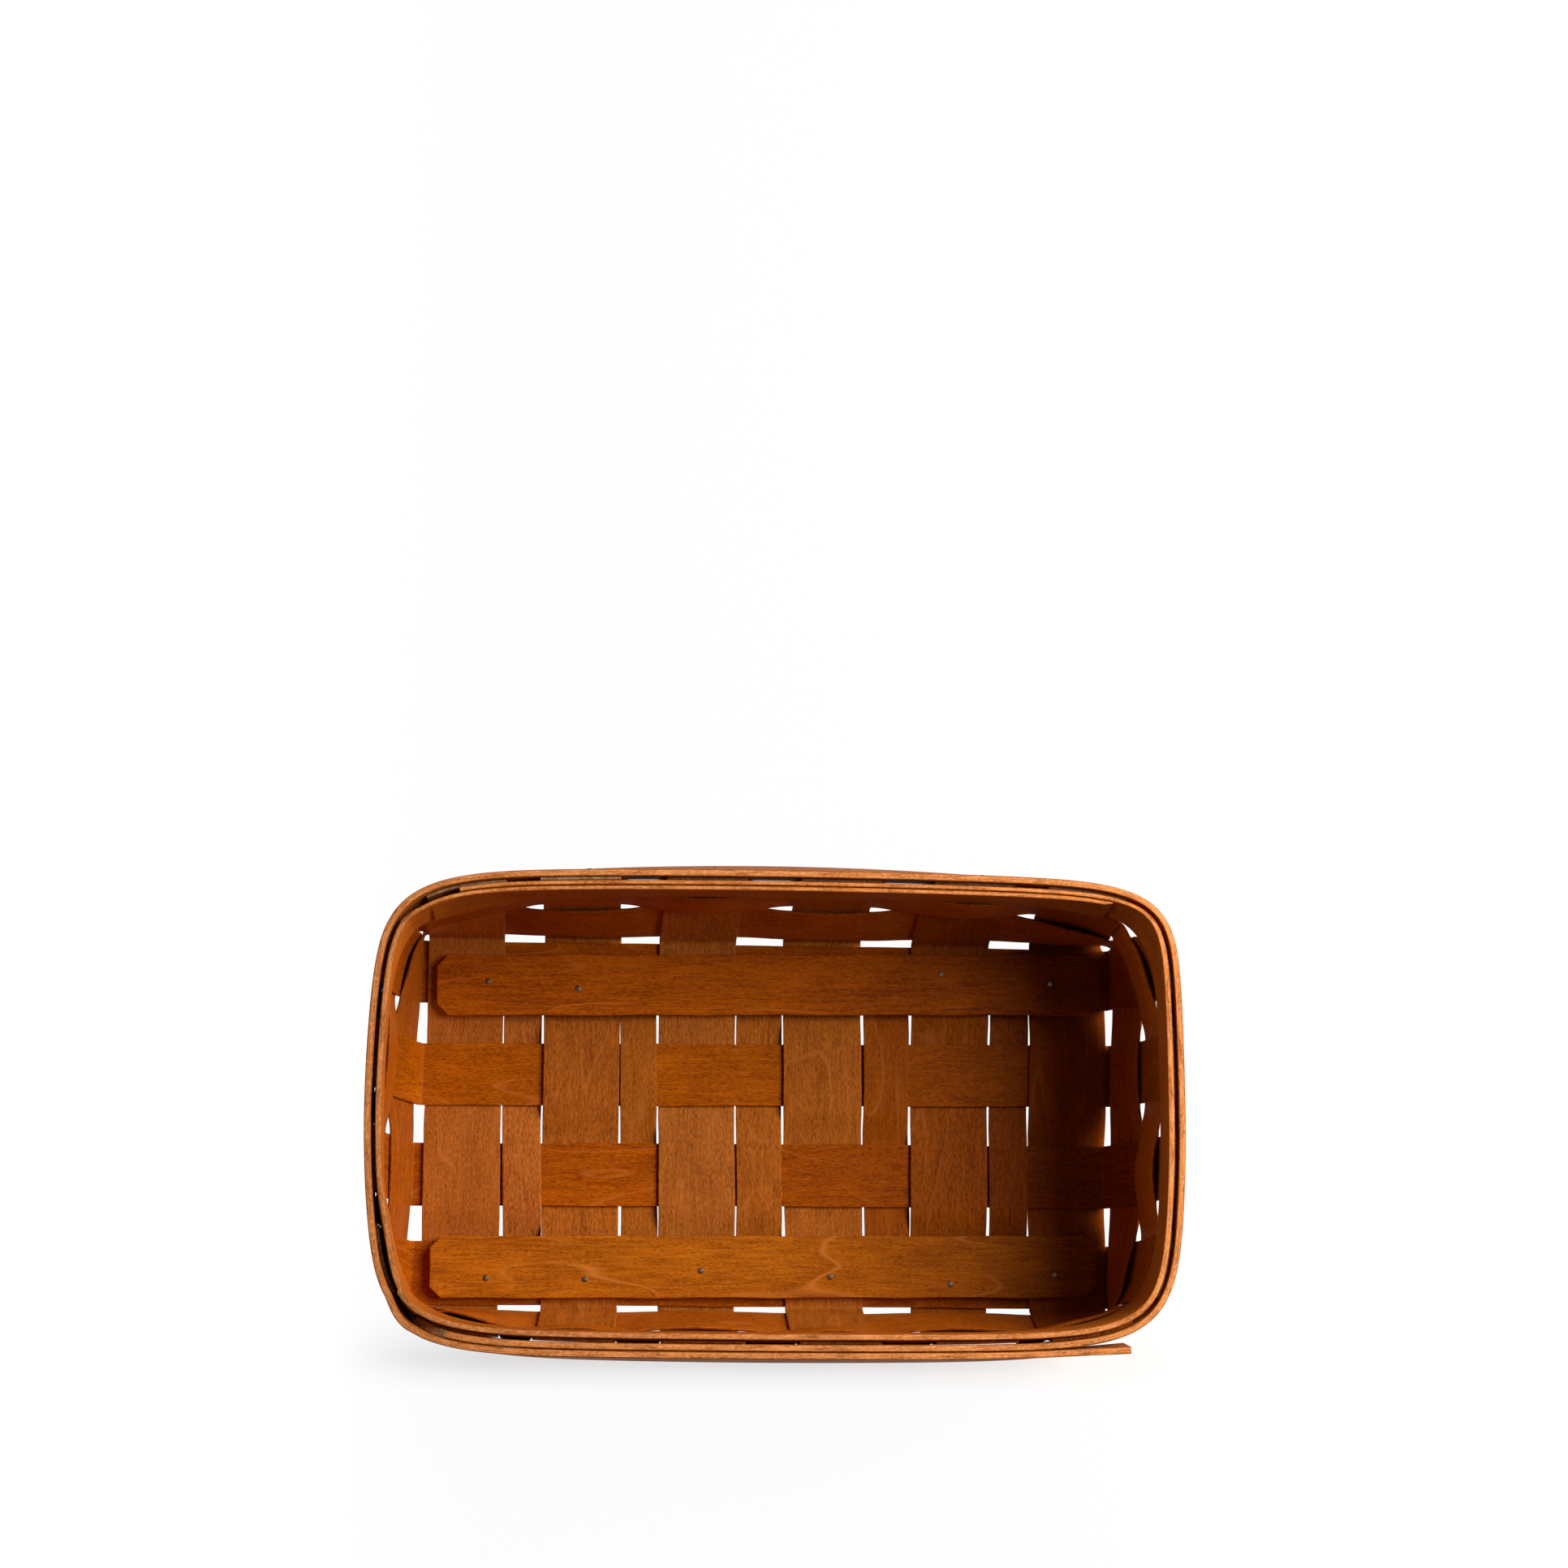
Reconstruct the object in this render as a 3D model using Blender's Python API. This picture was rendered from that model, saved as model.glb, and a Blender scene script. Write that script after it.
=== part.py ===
"""Rectangular basket of flat wooden splints, woven, with a nailed double rim and two base boards.

Metres, +Z up. The basket stands on its base at z = 0, with its long side along X.
Six wide cross splints and four long splints run across the base and up the walls as
uprights. Five narrow fillers close the base. Two weavers go round the walls, and an
inner and an outer band clamp the tops of the uprights.
"""

import math
from collections import namedtuple

import bmesh
import bpy
from mathutils import Matrix, Vector

# Splints and the clearances of the weave
splint_thickness = 0.0010
weave_clearance = 0.00035
touch_clearance = 0.0003

# Base weave: cross splints run along Y, long splints along X
cross_width = 0.0310
filler_width = 0.0150
middle_filler_width = 0.0182
cross_gap = 0.00117
long_width = 0.0254
long_gap = 0.01535
filler_end_margin = 0.0020

# Walls
end_wall_clearance = 0.0034
side_wall_clearance = 0.0028
foot_height = 0.0054
fold_radius = 0.0020
foot_give = 0.0009
weaver_width = 0.0254
weaver_gap = 0.0022
lower_weaver_bow = 0.0008
upper_weaver_bow = 0.0016
corner_bow = 0.0012
outside_bow_share = 0.4
foot_bow_share = 0.3
lower_lean = math.radians(19.0)
upper_lean = math.radians(4.5)
rim_gap = 0.0032
rim_flare = 0.0004
upright_top_drop = 0.0020

# The room in Y between the edges of the two uprights at a corner, at each height. The walls'
# plan is the superellipse that passes through the first edge
foot_corner_gap = 0.0022
lower_weaver_corner_gap = 0.0018
bend_corner_gap = 0.0024
upper_weaver_corner_gap = 0.0038
rim_foot_corner_gap = 0.0068
rim_top_corner_gap = 0.0098
squareness_limit = 400
squareness_steps = 60

# How much of that room each corner has from the upper weaver's top edge up
front_left_corner_share = 0.92
front_right_corner_share = 1.00
back_right_corner_share = 1.24
back_left_corner_share = 0.97

# The walls bow out: the share of its reach from the middle that each loses toward the corners
back_left_bow_share = 0.040
back_right_bow_share = 0.017
front_left_bow_share = 0.060
front_right_bow_share = 0.045
back_bow_share = 0.030
front_bow_share = 0.018
lower_bow_share = 0.5
upper_bow_share = 0.9

# The walls stand a little to the left of the base, and their ends run askew to it
wall_shift = -0.0006
wall_skew_share = 0.025
upper_shift_share = 0.5
outline_steps = 6

# The outermost uprights lean in from the corners, and the others fan out a little
cross_corner_lean = 0.0020
long_corner_lean = 0.0022
cross_fan_share = 0.025
long_fan_share = 0.0
lower_lean_share = 0.4
upper_lean_share = 0.9

# Rim bands. Where a band starts or ends is a share of the side it is on, from left to right
# at the front and from right to left at the back
band_height = 0.0190
outer_band_thickness = 0.0027
inner_band_thickness = 0.0025
skived_thickness = 0.0018
skived_tip_thickness = 0.0006
outer_band_start_share = 0.0425
outer_lap_begin_share = 0.75
outer_lap_full_share = 0.025
outer_band_free_share = 0.86
outer_band_tail_length = 0.0360
inner_band_start_share = 0.955
inner_lap_begin_share = 0.25
inner_lap_full_share = 0.975
inner_band_end_share = 0.030
inner_band_tip_share = 0.012
skive_begin_share = 0.5
skive_full_share = 0.9
band_foot_share = 0.03

# How far the outer band's foot stands out at the middle of the long sides
front_band_flare = 0.0010
back_band_flare = 0.0045

# Base boards
back_board_end_margin = 0.0028
front_board_end_margin = 0.0043
board_width = 0.0248
board_thickness = 0.0030
board_corner_clip = 0.0046
back_board_x = 0.0017
back_board_y = 0.0569
back_board_skew = math.radians(0.75)
front_board_x = -0.0001
front_board_y = -0.0580
front_board_skew = math.radians(0.45)
back_nail_shares = [(-0.423, 0.06), (-0.289, -0.06), (0.257, 0.18), (0.423, 0.02)]
front_nail_shares = [
    (-0.416, -0.18), (-0.269, -0.2), (-0.096, -0.06), (0.098, -0.16), (0.279, -0.28), (0.437, -0.14),
]

# Nails
nail_head_radius = 0.00115
nail_head_height = 0.0005
nail_shank_radius = 0.0006
cut_overrun = 0.001
rim_nail_height_share = 0.52
rim_nail_across_share = 0.39

# Steps of the curved stretches
fold_steps = 4
crimp_steps = 4
corner_steps = 6
end_upright_columns = 5
middle_upright_columns = 3
nail_sides = 8
station_margin = 0.004

# Stretches of the plan outline, counted anticlockwise from the front left corner
FRONT, FRONT_RIGHT, RIGHT, BACK_RIGHT, BACK, BACK_LEFT, LEFT, FRONT_LEFT = range(8)
STRETCHES = 8

# The lower weaver passes inside the front left cross splint
LOWER_WEAVER_SIDE = -1

CORNERS = ((-1, -1), (1, -1), (1, 1), (-1, 1))

Level = namedtuple("Level", "height half_length half_width squareness lean_share shift skew_share bow_share")
Point = namedtuple("Point", "middle normal half station level")


def clear_scene():
    for thing in list(bpy.data.objects):
        bpy.data.objects.remove(thing, do_unlink=True)


def make_material(name, colour, roughness, metallic=0.0):
    material = bpy.data.materials.new(name)
    material.use_nodes = True
    shader = material.node_tree.nodes["Principled BSDF"]
    shader.inputs["Base Color"].default_value = (*colour, 1.0)
    shader.inputs["Roughness"].default_value = roughness
    shader.inputs["Metallic"].default_value = metallic
    return material


def add_object(name, mesh, colour, roughness, metallic=0.0):
    thing = bpy.data.objects.new(name, mesh)
    thing.data.materials.append(make_material(name, colour, roughness, metallic))
    bpy.context.scene.collection.objects.link(thing)
    return thing


def ease(share):
    """A smooth rise from 0 to 1."""
    clamped = min(max(share, 0), 1)
    return (1 - math.cos(math.pi * clamped)) / 2


def mix(first, second, share):
    return first + (second - first) * share


# Layout of the base

def cross_widths():
    return [
        cross_width, filler_width, cross_width, filler_width, cross_width, middle_filler_width,
        cross_width, middle_filler_width, cross_width, filler_width, cross_width,
    ]


def strips(widths, gap):
    """The two edges of each strip in a row of strips that is centred on zero."""
    edge = -(sum(widths) + gap * (len(widths) - 1)) / 2
    edges = []
    for width in widths:
        edges.append((edge, edge + width))
        edge += width + gap
    return edges


def cross_strips():
    return strips(cross_widths(), cross_gap)


def long_strips():
    """The long splints' edges, from the back one to the front one."""
    return strips([long_width] * 4, long_gap)[::-1]


def cross_half_span():
    return cross_strips()[-1][1]


def long_half_span():
    return long_strips()[0][1]


def weave_step():
    """The distance between the middles of two splints that cross."""
    return splint_thickness + weave_clearance


def base_middle():
    """The height of the long splints' middle plane, with a cross splint under it."""
    return splint_thickness / 2 + weave_step()


def base_top():
    return base_middle() + weave_step() + splint_thickness / 2


def cross_is_over(cross, long):
    """True where a cross splint passes above a long one. Fillers pass under the outer two."""
    if cross % 2 == 0:
        return (cross // 2 + long) % 2 == 0
    if long in (0, 3):
        return False
    return cross_is_over(cross - 1, long)


def crossing_height(cross, long):
    if cross_is_over(cross, long):
        return base_middle() + weave_step()
    return base_middle() - weave_step()


# The wall surface

def rim_set_out():
    """How far the uprights move out where the thick inner band lies inside them."""
    weaver_inside = weave_step() + splint_thickness / 2
    band_inside = inner_band_thickness + touch_clearance + splint_thickness / 2
    return band_inside - weaver_inside + rim_flare


def squareness_through(x_share, y_share):
    """The exponent of the superellipse that passes through a point of the unit square."""
    low = 1
    high = squareness_limit
    for _ in range(squareness_steps):
        middle = (low + high) / 2
        if x_share ** middle + y_share ** middle > 1:
            low = middle
        else:
            high = middle
    return middle


def end_bow(right, back, bow_share):
    """The share of an end wall's reach that it loses toward its corners."""
    if back < 0:
        return bow_share * (front_left_bow_share if right < 0 else front_right_bow_share)
    return bow_share * (back_left_bow_share if right < 0 else back_right_bow_share)


def side_bow(back, bow_share):
    return bow_share * (front_bow_share if back < 0 else back_bow_share)


def unbowed(x, y, half_length, half_width, bow_share):
    """A place's distances from the middle lines, as shares of the bowed outline's reach there."""
    across = along = 1
    for _ in range(outline_steps):
        across = abs(x) / (half_length * (1 - end_bow(x, y, bow_share) * along ** 2))
        along = abs(y) / (half_width * (1 - side_bow(y, bow_share) * across ** 2))
    return across, along


def corner_squareness(half_length, half_width, corner_gaps, lean_share, shift, skew_share, bow_share):
    """The outline's exponent at each corner, where x counts from the shifted and skewed middle."""
    cross_edge = cross_half_span() - cross_corner_lean * lean_share
    long_edge = long_half_span() - long_corner_lean * lean_share
    squareness = {}
    for corner, corner_gap in zip(CORNERS, corner_gaps):
        right, back = corner
        y = back * (long_edge + corner_gap)
        x = right * cross_edge - shift - skew_share * y
        squareness[corner] = squareness_through(*unbowed(x, y, half_length, half_width, bow_share))
    return squareness


def wall_levels():
    """The named heights of the wall, with the plan outline of the uprights' middle there."""
    lower_rise = weaver_width * math.cos(lower_lean)
    lower_run = weaver_width * math.sin(lower_lean)
    bend_rise = weaver_gap * math.cos(lower_lean)
    bend_run = weaver_gap * math.sin(lower_lean)
    upper_rise = weaver_width * math.cos(upper_lean)
    upper_run = weaver_width * math.sin(upper_lean)
    rim_run = rim_gap * math.sin(upper_lean) + rim_set_out()
    even = (1, 1, 1, 1)
    uneven = (
        front_left_corner_share, front_right_corner_share, back_right_corner_share, back_left_corner_share,
    )
    steps = [
        (0, 0, foot_corner_gap, even, 0, 1, 0),
        (lower_rise, lower_run, lower_weaver_corner_gap, even, lower_lean_share, 1, lower_bow_share),
        (bend_rise, bend_run, bend_corner_gap, even, lower_lean_share, 1, lower_bow_share),
        (
            upper_rise, upper_run, upper_weaver_corner_gap, uneven, upper_lean_share, upper_shift_share,
            upper_bow_share,
        ),
        (rim_gap, rim_run, rim_foot_corner_gap, uneven, 1, 0, 1),
        (band_height, 0, rim_top_corner_gap, uneven, 1, 0, 1),
    ]
    levels = []
    height = foot_height
    half_length = cross_half_span() + end_wall_clearance
    half_width = long_half_span() + side_wall_clearance
    for rise, run, corner_gap, corner_shares, lean_share, shift_share, bow_share in steps:
        height += rise
        half_length += run
        half_width += run
        shift = wall_shift * shift_share
        skew_share = wall_skew_share * shift_share
        gaps = [corner_gap * share for share in corner_shares]
        plan = (lean_share, shift, skew_share, bow_share)
        squareness = corner_squareness(half_length, half_width, gaps, *plan)
        levels.append(Level(height, half_length, half_width, squareness, *plan))
    return levels


LEVELS = wall_levels()
CROSS_HALF = cross_half_span()
LONG_HALF = long_half_span()
FOOT, LOWER_TOP, UPPER_FOOT, UPPER_TOP, RIM_FOOT, RIM_TOP = range(6)


def opposite_side(share, squareness):
    """The superellipse's other coordinate, as a share of its half size."""
    return (1 - min(abs(share), 1) ** squareness) ** (1 / squareness)


def leaned(start, neighbour, outermost, fan_share, corner_lean):
    """How far out an upright's edge moves on its way up, from where it starts on the base.

    The neighbour and the outermost are the edges between which the fan turns into the
    inward lean of the outermost upright.
    """
    share = min(max((abs(start) - neighbour) / (outermost - neighbour), 0), 1)
    return math.copysign(1, start) * mix(abs(start) * fan_share, -corner_lean, share)


def leaned_cross(x, level):
    edges = cross_strips()
    return x + level.lean_share * leaned(x, edges[-3][1], edges[-1][0], cross_fan_share, cross_corner_lean)


def leaned_long(y, level):
    edges = long_strips()
    return y + level.lean_share * leaned(y, edges[1][1], edges[0][0], long_fan_share, long_corner_lean)


def sign_of(value):
    return -1 if value < 0 else 1


def middle_at(y, level):
    """The x of the outline's middle line at a place across the basket."""
    return level.shift + level.skew_share * y


def long_wall_point(x, sign, level):
    leaned = leaned_cross(x, level)
    along = 1
    y = sign * level.half_width
    for _ in range(outline_steps):
        local = leaned - middle_at(y, level)
        reach = level.half_length * (1 - end_bow(local, sign, level.bow_share) * along ** 2)
        along = opposite_side(local / reach, level.squareness[sign_of(local), sign])
        y = sign * along * level.half_width * (1 - side_bow(sign, level.bow_share) * (local / reach) ** 2)
    return Vector((leaned, y, level.height))


def short_wall_point(y, sign, level):
    leaned = leaned_long(y, level)
    squareness = level.squareness[sign, sign_of(leaned)]
    across = 1
    for _ in range(outline_steps):
        along = leaned / (level.half_width * (1 - side_bow(leaned, level.bow_share) * across ** 2))
        across = opposite_side(along, squareness)
    reach = across * level.half_length * (1 - end_bow(sign, leaned, level.bow_share) * along ** 2)
    return Vector((sign * reach + middle_at(leaned, level), leaned, level.height))


def corner_point(first, last, share, level):
    """A point of the outline between two of its points, by its angle about the centre."""
    start = math.atan2(first.y, first.x - middle_at(first.y, level))
    turn = (math.atan2(last.y, last.x - middle_at(last.y, level)) - start) % (2 * math.pi)
    cosine = math.cos(start + turn * share)
    sine = math.sin(start + turn * share)
    squareness = level.squareness[sign_of(cosine), sign_of(sine)]
    across = along = 1
    for _ in range(outline_steps):
        half_x = level.half_length * (1 - end_bow(cosine, sine, level.bow_share) * along ** 2)
        half_y = level.half_width * (1 - side_bow(sine, level.bow_share) * across ** 2)
        total = (abs(cosine) / half_x) ** squareness + (abs(sine) / half_y) ** squareness
        reach = total ** (-1 / squareness)
        across = reach * abs(cosine) / half_x
        along = reach * abs(sine) / half_y
    y = reach * sine
    return Vector((reach * cosine + middle_at(y, level), y, level.height))


def station_point(station, level):
    """A point of one level's outline. A station's whole number is the stretch that it lies on."""
    stretch = int(station // 1) % STRETCHES
    share = station % 1
    if stretch == FRONT:
        return long_wall_point((2 * share - 1) * CROSS_HALF, -1, level)
    if stretch == RIGHT:
        return short_wall_point((2 * share - 1) * LONG_HALF, 1, level)
    if stretch == BACK:
        return long_wall_point((1 - 2 * share) * CROSS_HALF, 1, level)
    if stretch == LEFT:
        return short_wall_point((1 - 2 * share) * LONG_HALF, -1, level)
    corner_ends = {
        FRONT_RIGHT: (long_wall_point(CROSS_HALF, -1, level), short_wall_point(-LONG_HALF, 1, level)),
        BACK_RIGHT: (short_wall_point(LONG_HALF, 1, level), long_wall_point(CROSS_HALF, 1, level)),
        BACK_LEFT: (long_wall_point(-CROSS_HALF, 1, level), short_wall_point(LONG_HALF, -1, level)),
        FRONT_LEFT: (short_wall_point(-LONG_HALF, -1, level), long_wall_point(-CROSS_HALF, -1, level)),
    }
    first, last = corner_ends[stretch]
    return corner_point(first, last, share, level)


def wall_point(station, height):
    """A point of the uprights' middle surface. A height of 1.5 is halfway from level 1 to 2."""
    lower = min(int(height), RIM_FOOT)
    foot = station_point(station, LEVELS[lower])
    top = station_point(station, LEVELS[lower + 1])
    return foot.lerp(top, height - lower)


def segment_normal(station, height, segment):
    """The outward normal there, taken on the stretch of wall above the named level."""
    before = wall_point(station - station_margin, height)
    after = wall_point(station + station_margin, height)
    up = station_point(station, LEVELS[segment + 1]) - station_point(station, LEVELS[segment])
    return (after - before).cross(up).normalized()


def upright_normal(station, height):
    """The mean of the normals below and above a level, so that the thickness turns there."""
    segment = min(int(height), RIM_FOOT)
    normal = segment_normal(station, height, segment)
    if height == segment and segment > FOOT:
        normal = normal + segment_normal(station, height, segment - 1)
    return normal.normalized()


def offset_point(station, height, segment, offset, half):
    normal = segment_normal(station, height, segment)
    middle = wall_point(station, height) + normal * offset
    return Point(middle, normal, half, station, height)


# Solids from sheets of points

def split_quad(mesh, grid, corners):
    """Adds a quad as two triangles. Sheets that lie on each other split along the same diagonal."""
    first, second, third, fourth = [grid[place] for place in corners]
    rising = (third[1].station - first[1].station) * (third[1].level - first[1].level) >= 0
    if rising:
        triangles = [(first, second, third), (first, third, fourth)]
    else:
        triangles = [(first, second, fourth), (second, third, fourth)]
    for triangle in triangles:
        mesh.faces.new([vertex for vertex, _ in triangle])


def sheet_mesh(name, rows, closed=False):
    """A closed solid: a sheet of points, thickened to both sides of its middle."""
    mesh = bmesh.new()
    grid = {}
    for row, points in enumerate(rows):
        for column, point in enumerate(points):
            for face in (-1, 1):
                place = point.middle + point.normal * (face * point.half)
                grid[row, column, face] = (mesh.verts.new(place), point)
    row_count = len(rows)
    last_column = len(rows[0]) - 1
    spans = row_count if closed else row_count - 1
    for row in range(spans):
        after = (row + 1) % row_count
        for column in range(last_column):
            for face in (-1, 1):
                corners = [(row, column, face), (after, column, face)]
                corners += [(after, column + 1, face), (row, column + 1, face)]
                split_quad(mesh, grid, corners)
        for column in (0, last_column):
            corners = [(row, column, -1), (after, column, -1), (after, column, 1), (row, column, 1)]
            split_quad(mesh, grid, corners)
    if not closed:
        for row in (0, row_count - 1):
            for column in range(last_column):
                corners = [(row, column, -1), (row, column + 1, -1)]
                corners += [(row, column + 1, 1), (row, column, 1)]
                split_quad(mesh, grid, corners)
    bmesh.ops.recalc_face_normals(mesh, faces=mesh.faces)
    data = bpy.data.meshes.new(name)
    mesh.to_mesh(data)
    mesh.free()
    return data


def columns_between(low, high, count):
    return [mix(low, high, index / (count - 1)) for index in range(count)]


def upright_columns(strip, is_end):
    count = end_upright_columns if is_end else middle_upright_columns
    return columns_between(strip[0], strip[1], count)


def front_station(x):
    return FRONT + (x / CROSS_HALF + 1) / 2


def back_station(x):
    return BACK + (1 - x / CROSS_HALF) / 2


def right_station(y):
    return RIGHT + (y / LONG_HALF + 1) / 2


def left_station(y):
    return LEFT + (1 - y / LONG_HALF) / 2


def fold_points(station, base_height, outward, give):
    """The fold from the base up to the wall's foot, in the plane that faces outward."""
    foot = station_point(station, LEVELS[FOOT]) + segment_normal(station, FOOT, FOOT) * give
    above = station_point(station, LEVELS[LOWER_TOP])
    foot_reach = foot.dot(outward)
    lean = (above.dot(outward) - foot_reach) / (above.z - foot.z)
    turn = math.pi / 2 - math.atan(lean)
    corner_reach = foot_reach - (foot.z - base_height) * lean
    start_reach = corner_reach - fold_radius * math.tan(turn / 2)
    sideways = foot - outward * foot_reach
    points = []
    for step in range(fold_steps + 1):
        angle = turn * step / fold_steps
        reach = start_reach + fold_radius * math.sin(angle)
        height = base_height + fold_radius * (1 - math.cos(angle))
        middle = Vector((sideways.x, sideways.y, height)) + outward * reach
        normal = outward * math.sin(angle) - Vector((0, 0, math.cos(angle)))
        points.append(Point(middle, normal, splint_thickness / 2, station, FOOT))
    return points


def wall_points(station, give):
    """One edge line of an upright, from the wall's foot to its sawn top."""
    top = RIM_TOP - upright_top_drop / band_height
    points = []
    for height in (FOOT, LOWER_TOP, UPPER_FOOT, UPPER_TOP, RIM_FOOT, top):
        normal = upright_normal(station, height)
        middle = wall_point(station, height)
        if height == FOOT:
            middle = middle + normal * give
        points.append(Point(middle, normal, splint_thickness / 2, station, height))
    return points


def weaver_side(group, first_side):
    """1 where a weaver passes outside the upright of that number round the basket, else -1."""
    return first_side if group % 2 == 0 else -first_side


def foot_gives(cross=None, long=None):
    """How far out a splint's two walls stand at the foot, where they give way to the lower weaver."""
    wide_count = (len(cross_strips()) + 1) // 2
    long_count = len(long_strips())
    if cross is None:
        groups = (wide_count * 2 + long_count + long, wide_count + long_count - 1 - long)
    else:
        groups = (cross // 2, wide_count * 2 + long_count - 1 - cross // 2)
    return [-weaver_side(group, LOWER_WEAVER_SIDE) * foot_give for group in groups]


def upright_line(station, base_height, outward, give):
    return fold_points(station, base_height, outward, give) + wall_points(station, give)


def crimp_profile(cross):
    """The (y, z) places and slopes of a cross splint between its outermost crossings."""
    edges = long_strips()[::-1]
    profile = []
    for index, (low, high) in enumerate(edges):
        long = len(edges) - 1 - index
        height = crossing_height(cross, long)
        if index > 0:
            gap_start = edges[index - 1][1]
            height_before = crossing_height(cross, long + 1)
            for step in range(1, crimp_steps):
                share = step / crimp_steps
                rise = (height - height_before) * math.pi / 2 * math.sin(math.pi * share)
                slope = rise / (low - gap_start)
                profile.append((mix(gap_start, low, share), mix(height_before, height, ease(share)), slope))
            profile.append((low, height, 0))
        if index < len(edges) - 1:
            profile.append((high, height, 0))
    return profile


def crimp_row(xs, place):
    y, z, slope = place
    normal = Vector((0, slope, -1)).normalized()
    return [Point(Vector((x, y, z)), normal, splint_thickness / 2, 0, 0) for x in xs]


def rows_from_columns(columns):
    return [list(row) for row in zip(*columns)]


def upright_cross(number, cross):
    """A wide splint: down the front wall, across the base, over and under, and up the back wall."""
    strip = cross_strips()[cross]
    xs = upright_columns(strip, cross in (0, len(cross_strips()) - 1))
    front_height = crossing_height(cross, 3)
    back_height = crossing_height(cross, 0)
    front_give, back_give = foot_gives(cross=cross)
    front = []
    back = []
    for x in xs:
        front_line = upright_line(front_station(x), front_height, Vector((0, -1, 0)), front_give)
        front.append(front_line[::-1])
        back.append(upright_line(back_station(x), back_height, Vector((0, 1, 0)), back_give))
    rows = rows_from_columns(front)
    for place in crimp_profile(cross):
        rows.append(crimp_row(xs, place))
    rows += rows_from_columns(back)
    name = f"upright_cross_{number}"
    return add_object(name, sheet_mesh(name, rows), (0.36, 0.12, 0.025), 0.45)


def base_filler(number, cross):
    """A narrow splint that ends under the outer long splints."""
    strip = cross_strips()[cross]
    xs = columns_between(strip[0], strip[1], 2)
    reach = LONG_HALF - filler_end_margin
    rows = [crimp_row(xs, (-reach, crossing_height(cross, 3), 0))]
    for place in crimp_profile(cross):
        rows.append(crimp_row(xs, place))
    rows.append(crimp_row(xs, (reach, crossing_height(cross, 0), 0)))
    name = f"base_filler_{number}"
    return add_object(name, sheet_mesh(name, rows), (0.38, 0.13, 0.03), 0.45)


def upright_long(number, long):
    """A long splint: down the left wall, flat across the base and up the right wall."""
    strip = long_strips()[long]
    ys = upright_columns(strip, long in (0, len(long_strips()) - 1))
    left_give, right_give = foot_gives(long=long)
    left = []
    right = []
    for y in ys:
        left_line = upright_line(left_station(y), base_middle(), Vector((-1, 0, 0)), left_give)
        left.append(left_line[::-1])
        right.append(upright_line(right_station(y), base_middle(), Vector((1, 0, 0)), right_give))
    rows = rows_from_columns(left) + rows_from_columns(right)
    name = f"upright_long_{number}"
    return add_object(name, sheet_mesh(name, rows), (0.38, 0.11, 0.012), 0.42)


# Weavers

def upright_stations():
    """The stations across each upright, once round the basket from the front left corner."""
    wide = [strip for index, strip in enumerate(cross_strips()) if index % 2 == 0]
    long = long_strips()
    groups = []
    for strip in wide:
        xs = upright_columns(strip, strip in (wide[0], wide[-1]))
        groups.append([front_station(x) for x in xs])
    for strip in long[::-1]:
        ys = upright_columns(strip, strip in (long[0], long[-1]))
        groups.append([right_station(y) for y in ys])
    for strip in wide[::-1]:
        xs = upright_columns(strip, strip in (wide[0], wide[-1]))
        groups.append([back_station(x) for x in xs[::-1]])
    for strip in long:
        ys = upright_columns(strip, strip in (long[0], long[-1]))
        groups.append([left_station(y) for y in ys[::-1]])
    return groups


def is_corner_group(group):
    return group[0] % 1 < station_margin or group[-1] % 1 > 1 - station_margin


def weaver_path(first_side):
    """A weaver's stations, each with its side of the uprights, from -1 to 1, and its bow.

    The bow is how much of a weaver's own bow, and of the one next to a corner, it has there.
    """
    groups = upright_stations()
    path = []
    for index, group in enumerate(groups):
        side = weaver_side(index, first_side)
        strength = 1 if side < 0 else outside_bow_share
        for station in group:
            share = (station - group[0]) / (group[-1] - group[0])
            bow = side * strength * math.sin(math.pi * share)
            path.append((station, side, bow, bow if side < 0 and is_corner_group(group) else 0))
        following = groups[(index + 1) % len(groups)][0]
        gap_end = following if following > group[-1] else following + STRETCHES
        turns_corner = int(gap_end - station_margin) % 2 == 1
        steps = corner_steps if turns_corner else crimp_steps
        for step in range(1, steps):
            share = step / steps
            path.append((mix(group[-1], gap_end, share), mix(side, -side, ease(share)), 0, 0))
    return path


def weaver(name, segment, first_side, bow_size, give, low_bow_share):
    """A weaver that goes round the wall. Its lower edge swings less where the uprights give way."""
    rows = []
    for station, side, bow, near_corner in weaver_path(first_side):
        reach = bow * bow_size + near_corner * corner_bow
        low = side * (weave_step() - give) + reach * low_bow_share
        high = side * weave_step() + reach
        rows.append([
            offset_point(station, segment, segment, low, splint_thickness / 2),
            offset_point(station, segment + 1, segment, high, splint_thickness / 2),
        ])
    return add_object(name, sheet_mesh(name, rows, closed=True), (0.33, 0.10, 0.015), 0.45)


# Rim

def band_row(station, offset, thickness, flare=0):
    row = []
    for height, lean in ((RIM_FOOT + band_foot_share, flare), (RIM_TOP, 0)):
        row.append(offset_point(station, height, RIM_FOOT, offset + lean, thickness / 2))
    return row


def outer_band_flare(station):
    """How much further out the outer band's foot stands than its top."""
    stretch = int(station // 1) % STRETCHES
    size = {FRONT: front_band_flare, BACK: back_band_flare}.get(stretch, 0)
    return size * math.sin(math.pi * (station % 1))


def band_stations(start, end):
    """The weavers' stations from one place to another, so that band and uprights bend alike."""
    low, high = sorted((start, end))
    once_round = [place[0] for place in weaver_path(1)]
    stations = [low]
    for turn in (-STRETCHES, 0, STRETCHES):
        for station in once_round:
            if low + station_margin < station + turn < high - station_margin:
                stations.append(station + turn)
    stations.append(high)
    return sorted(stations, reverse=end < start)


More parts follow.
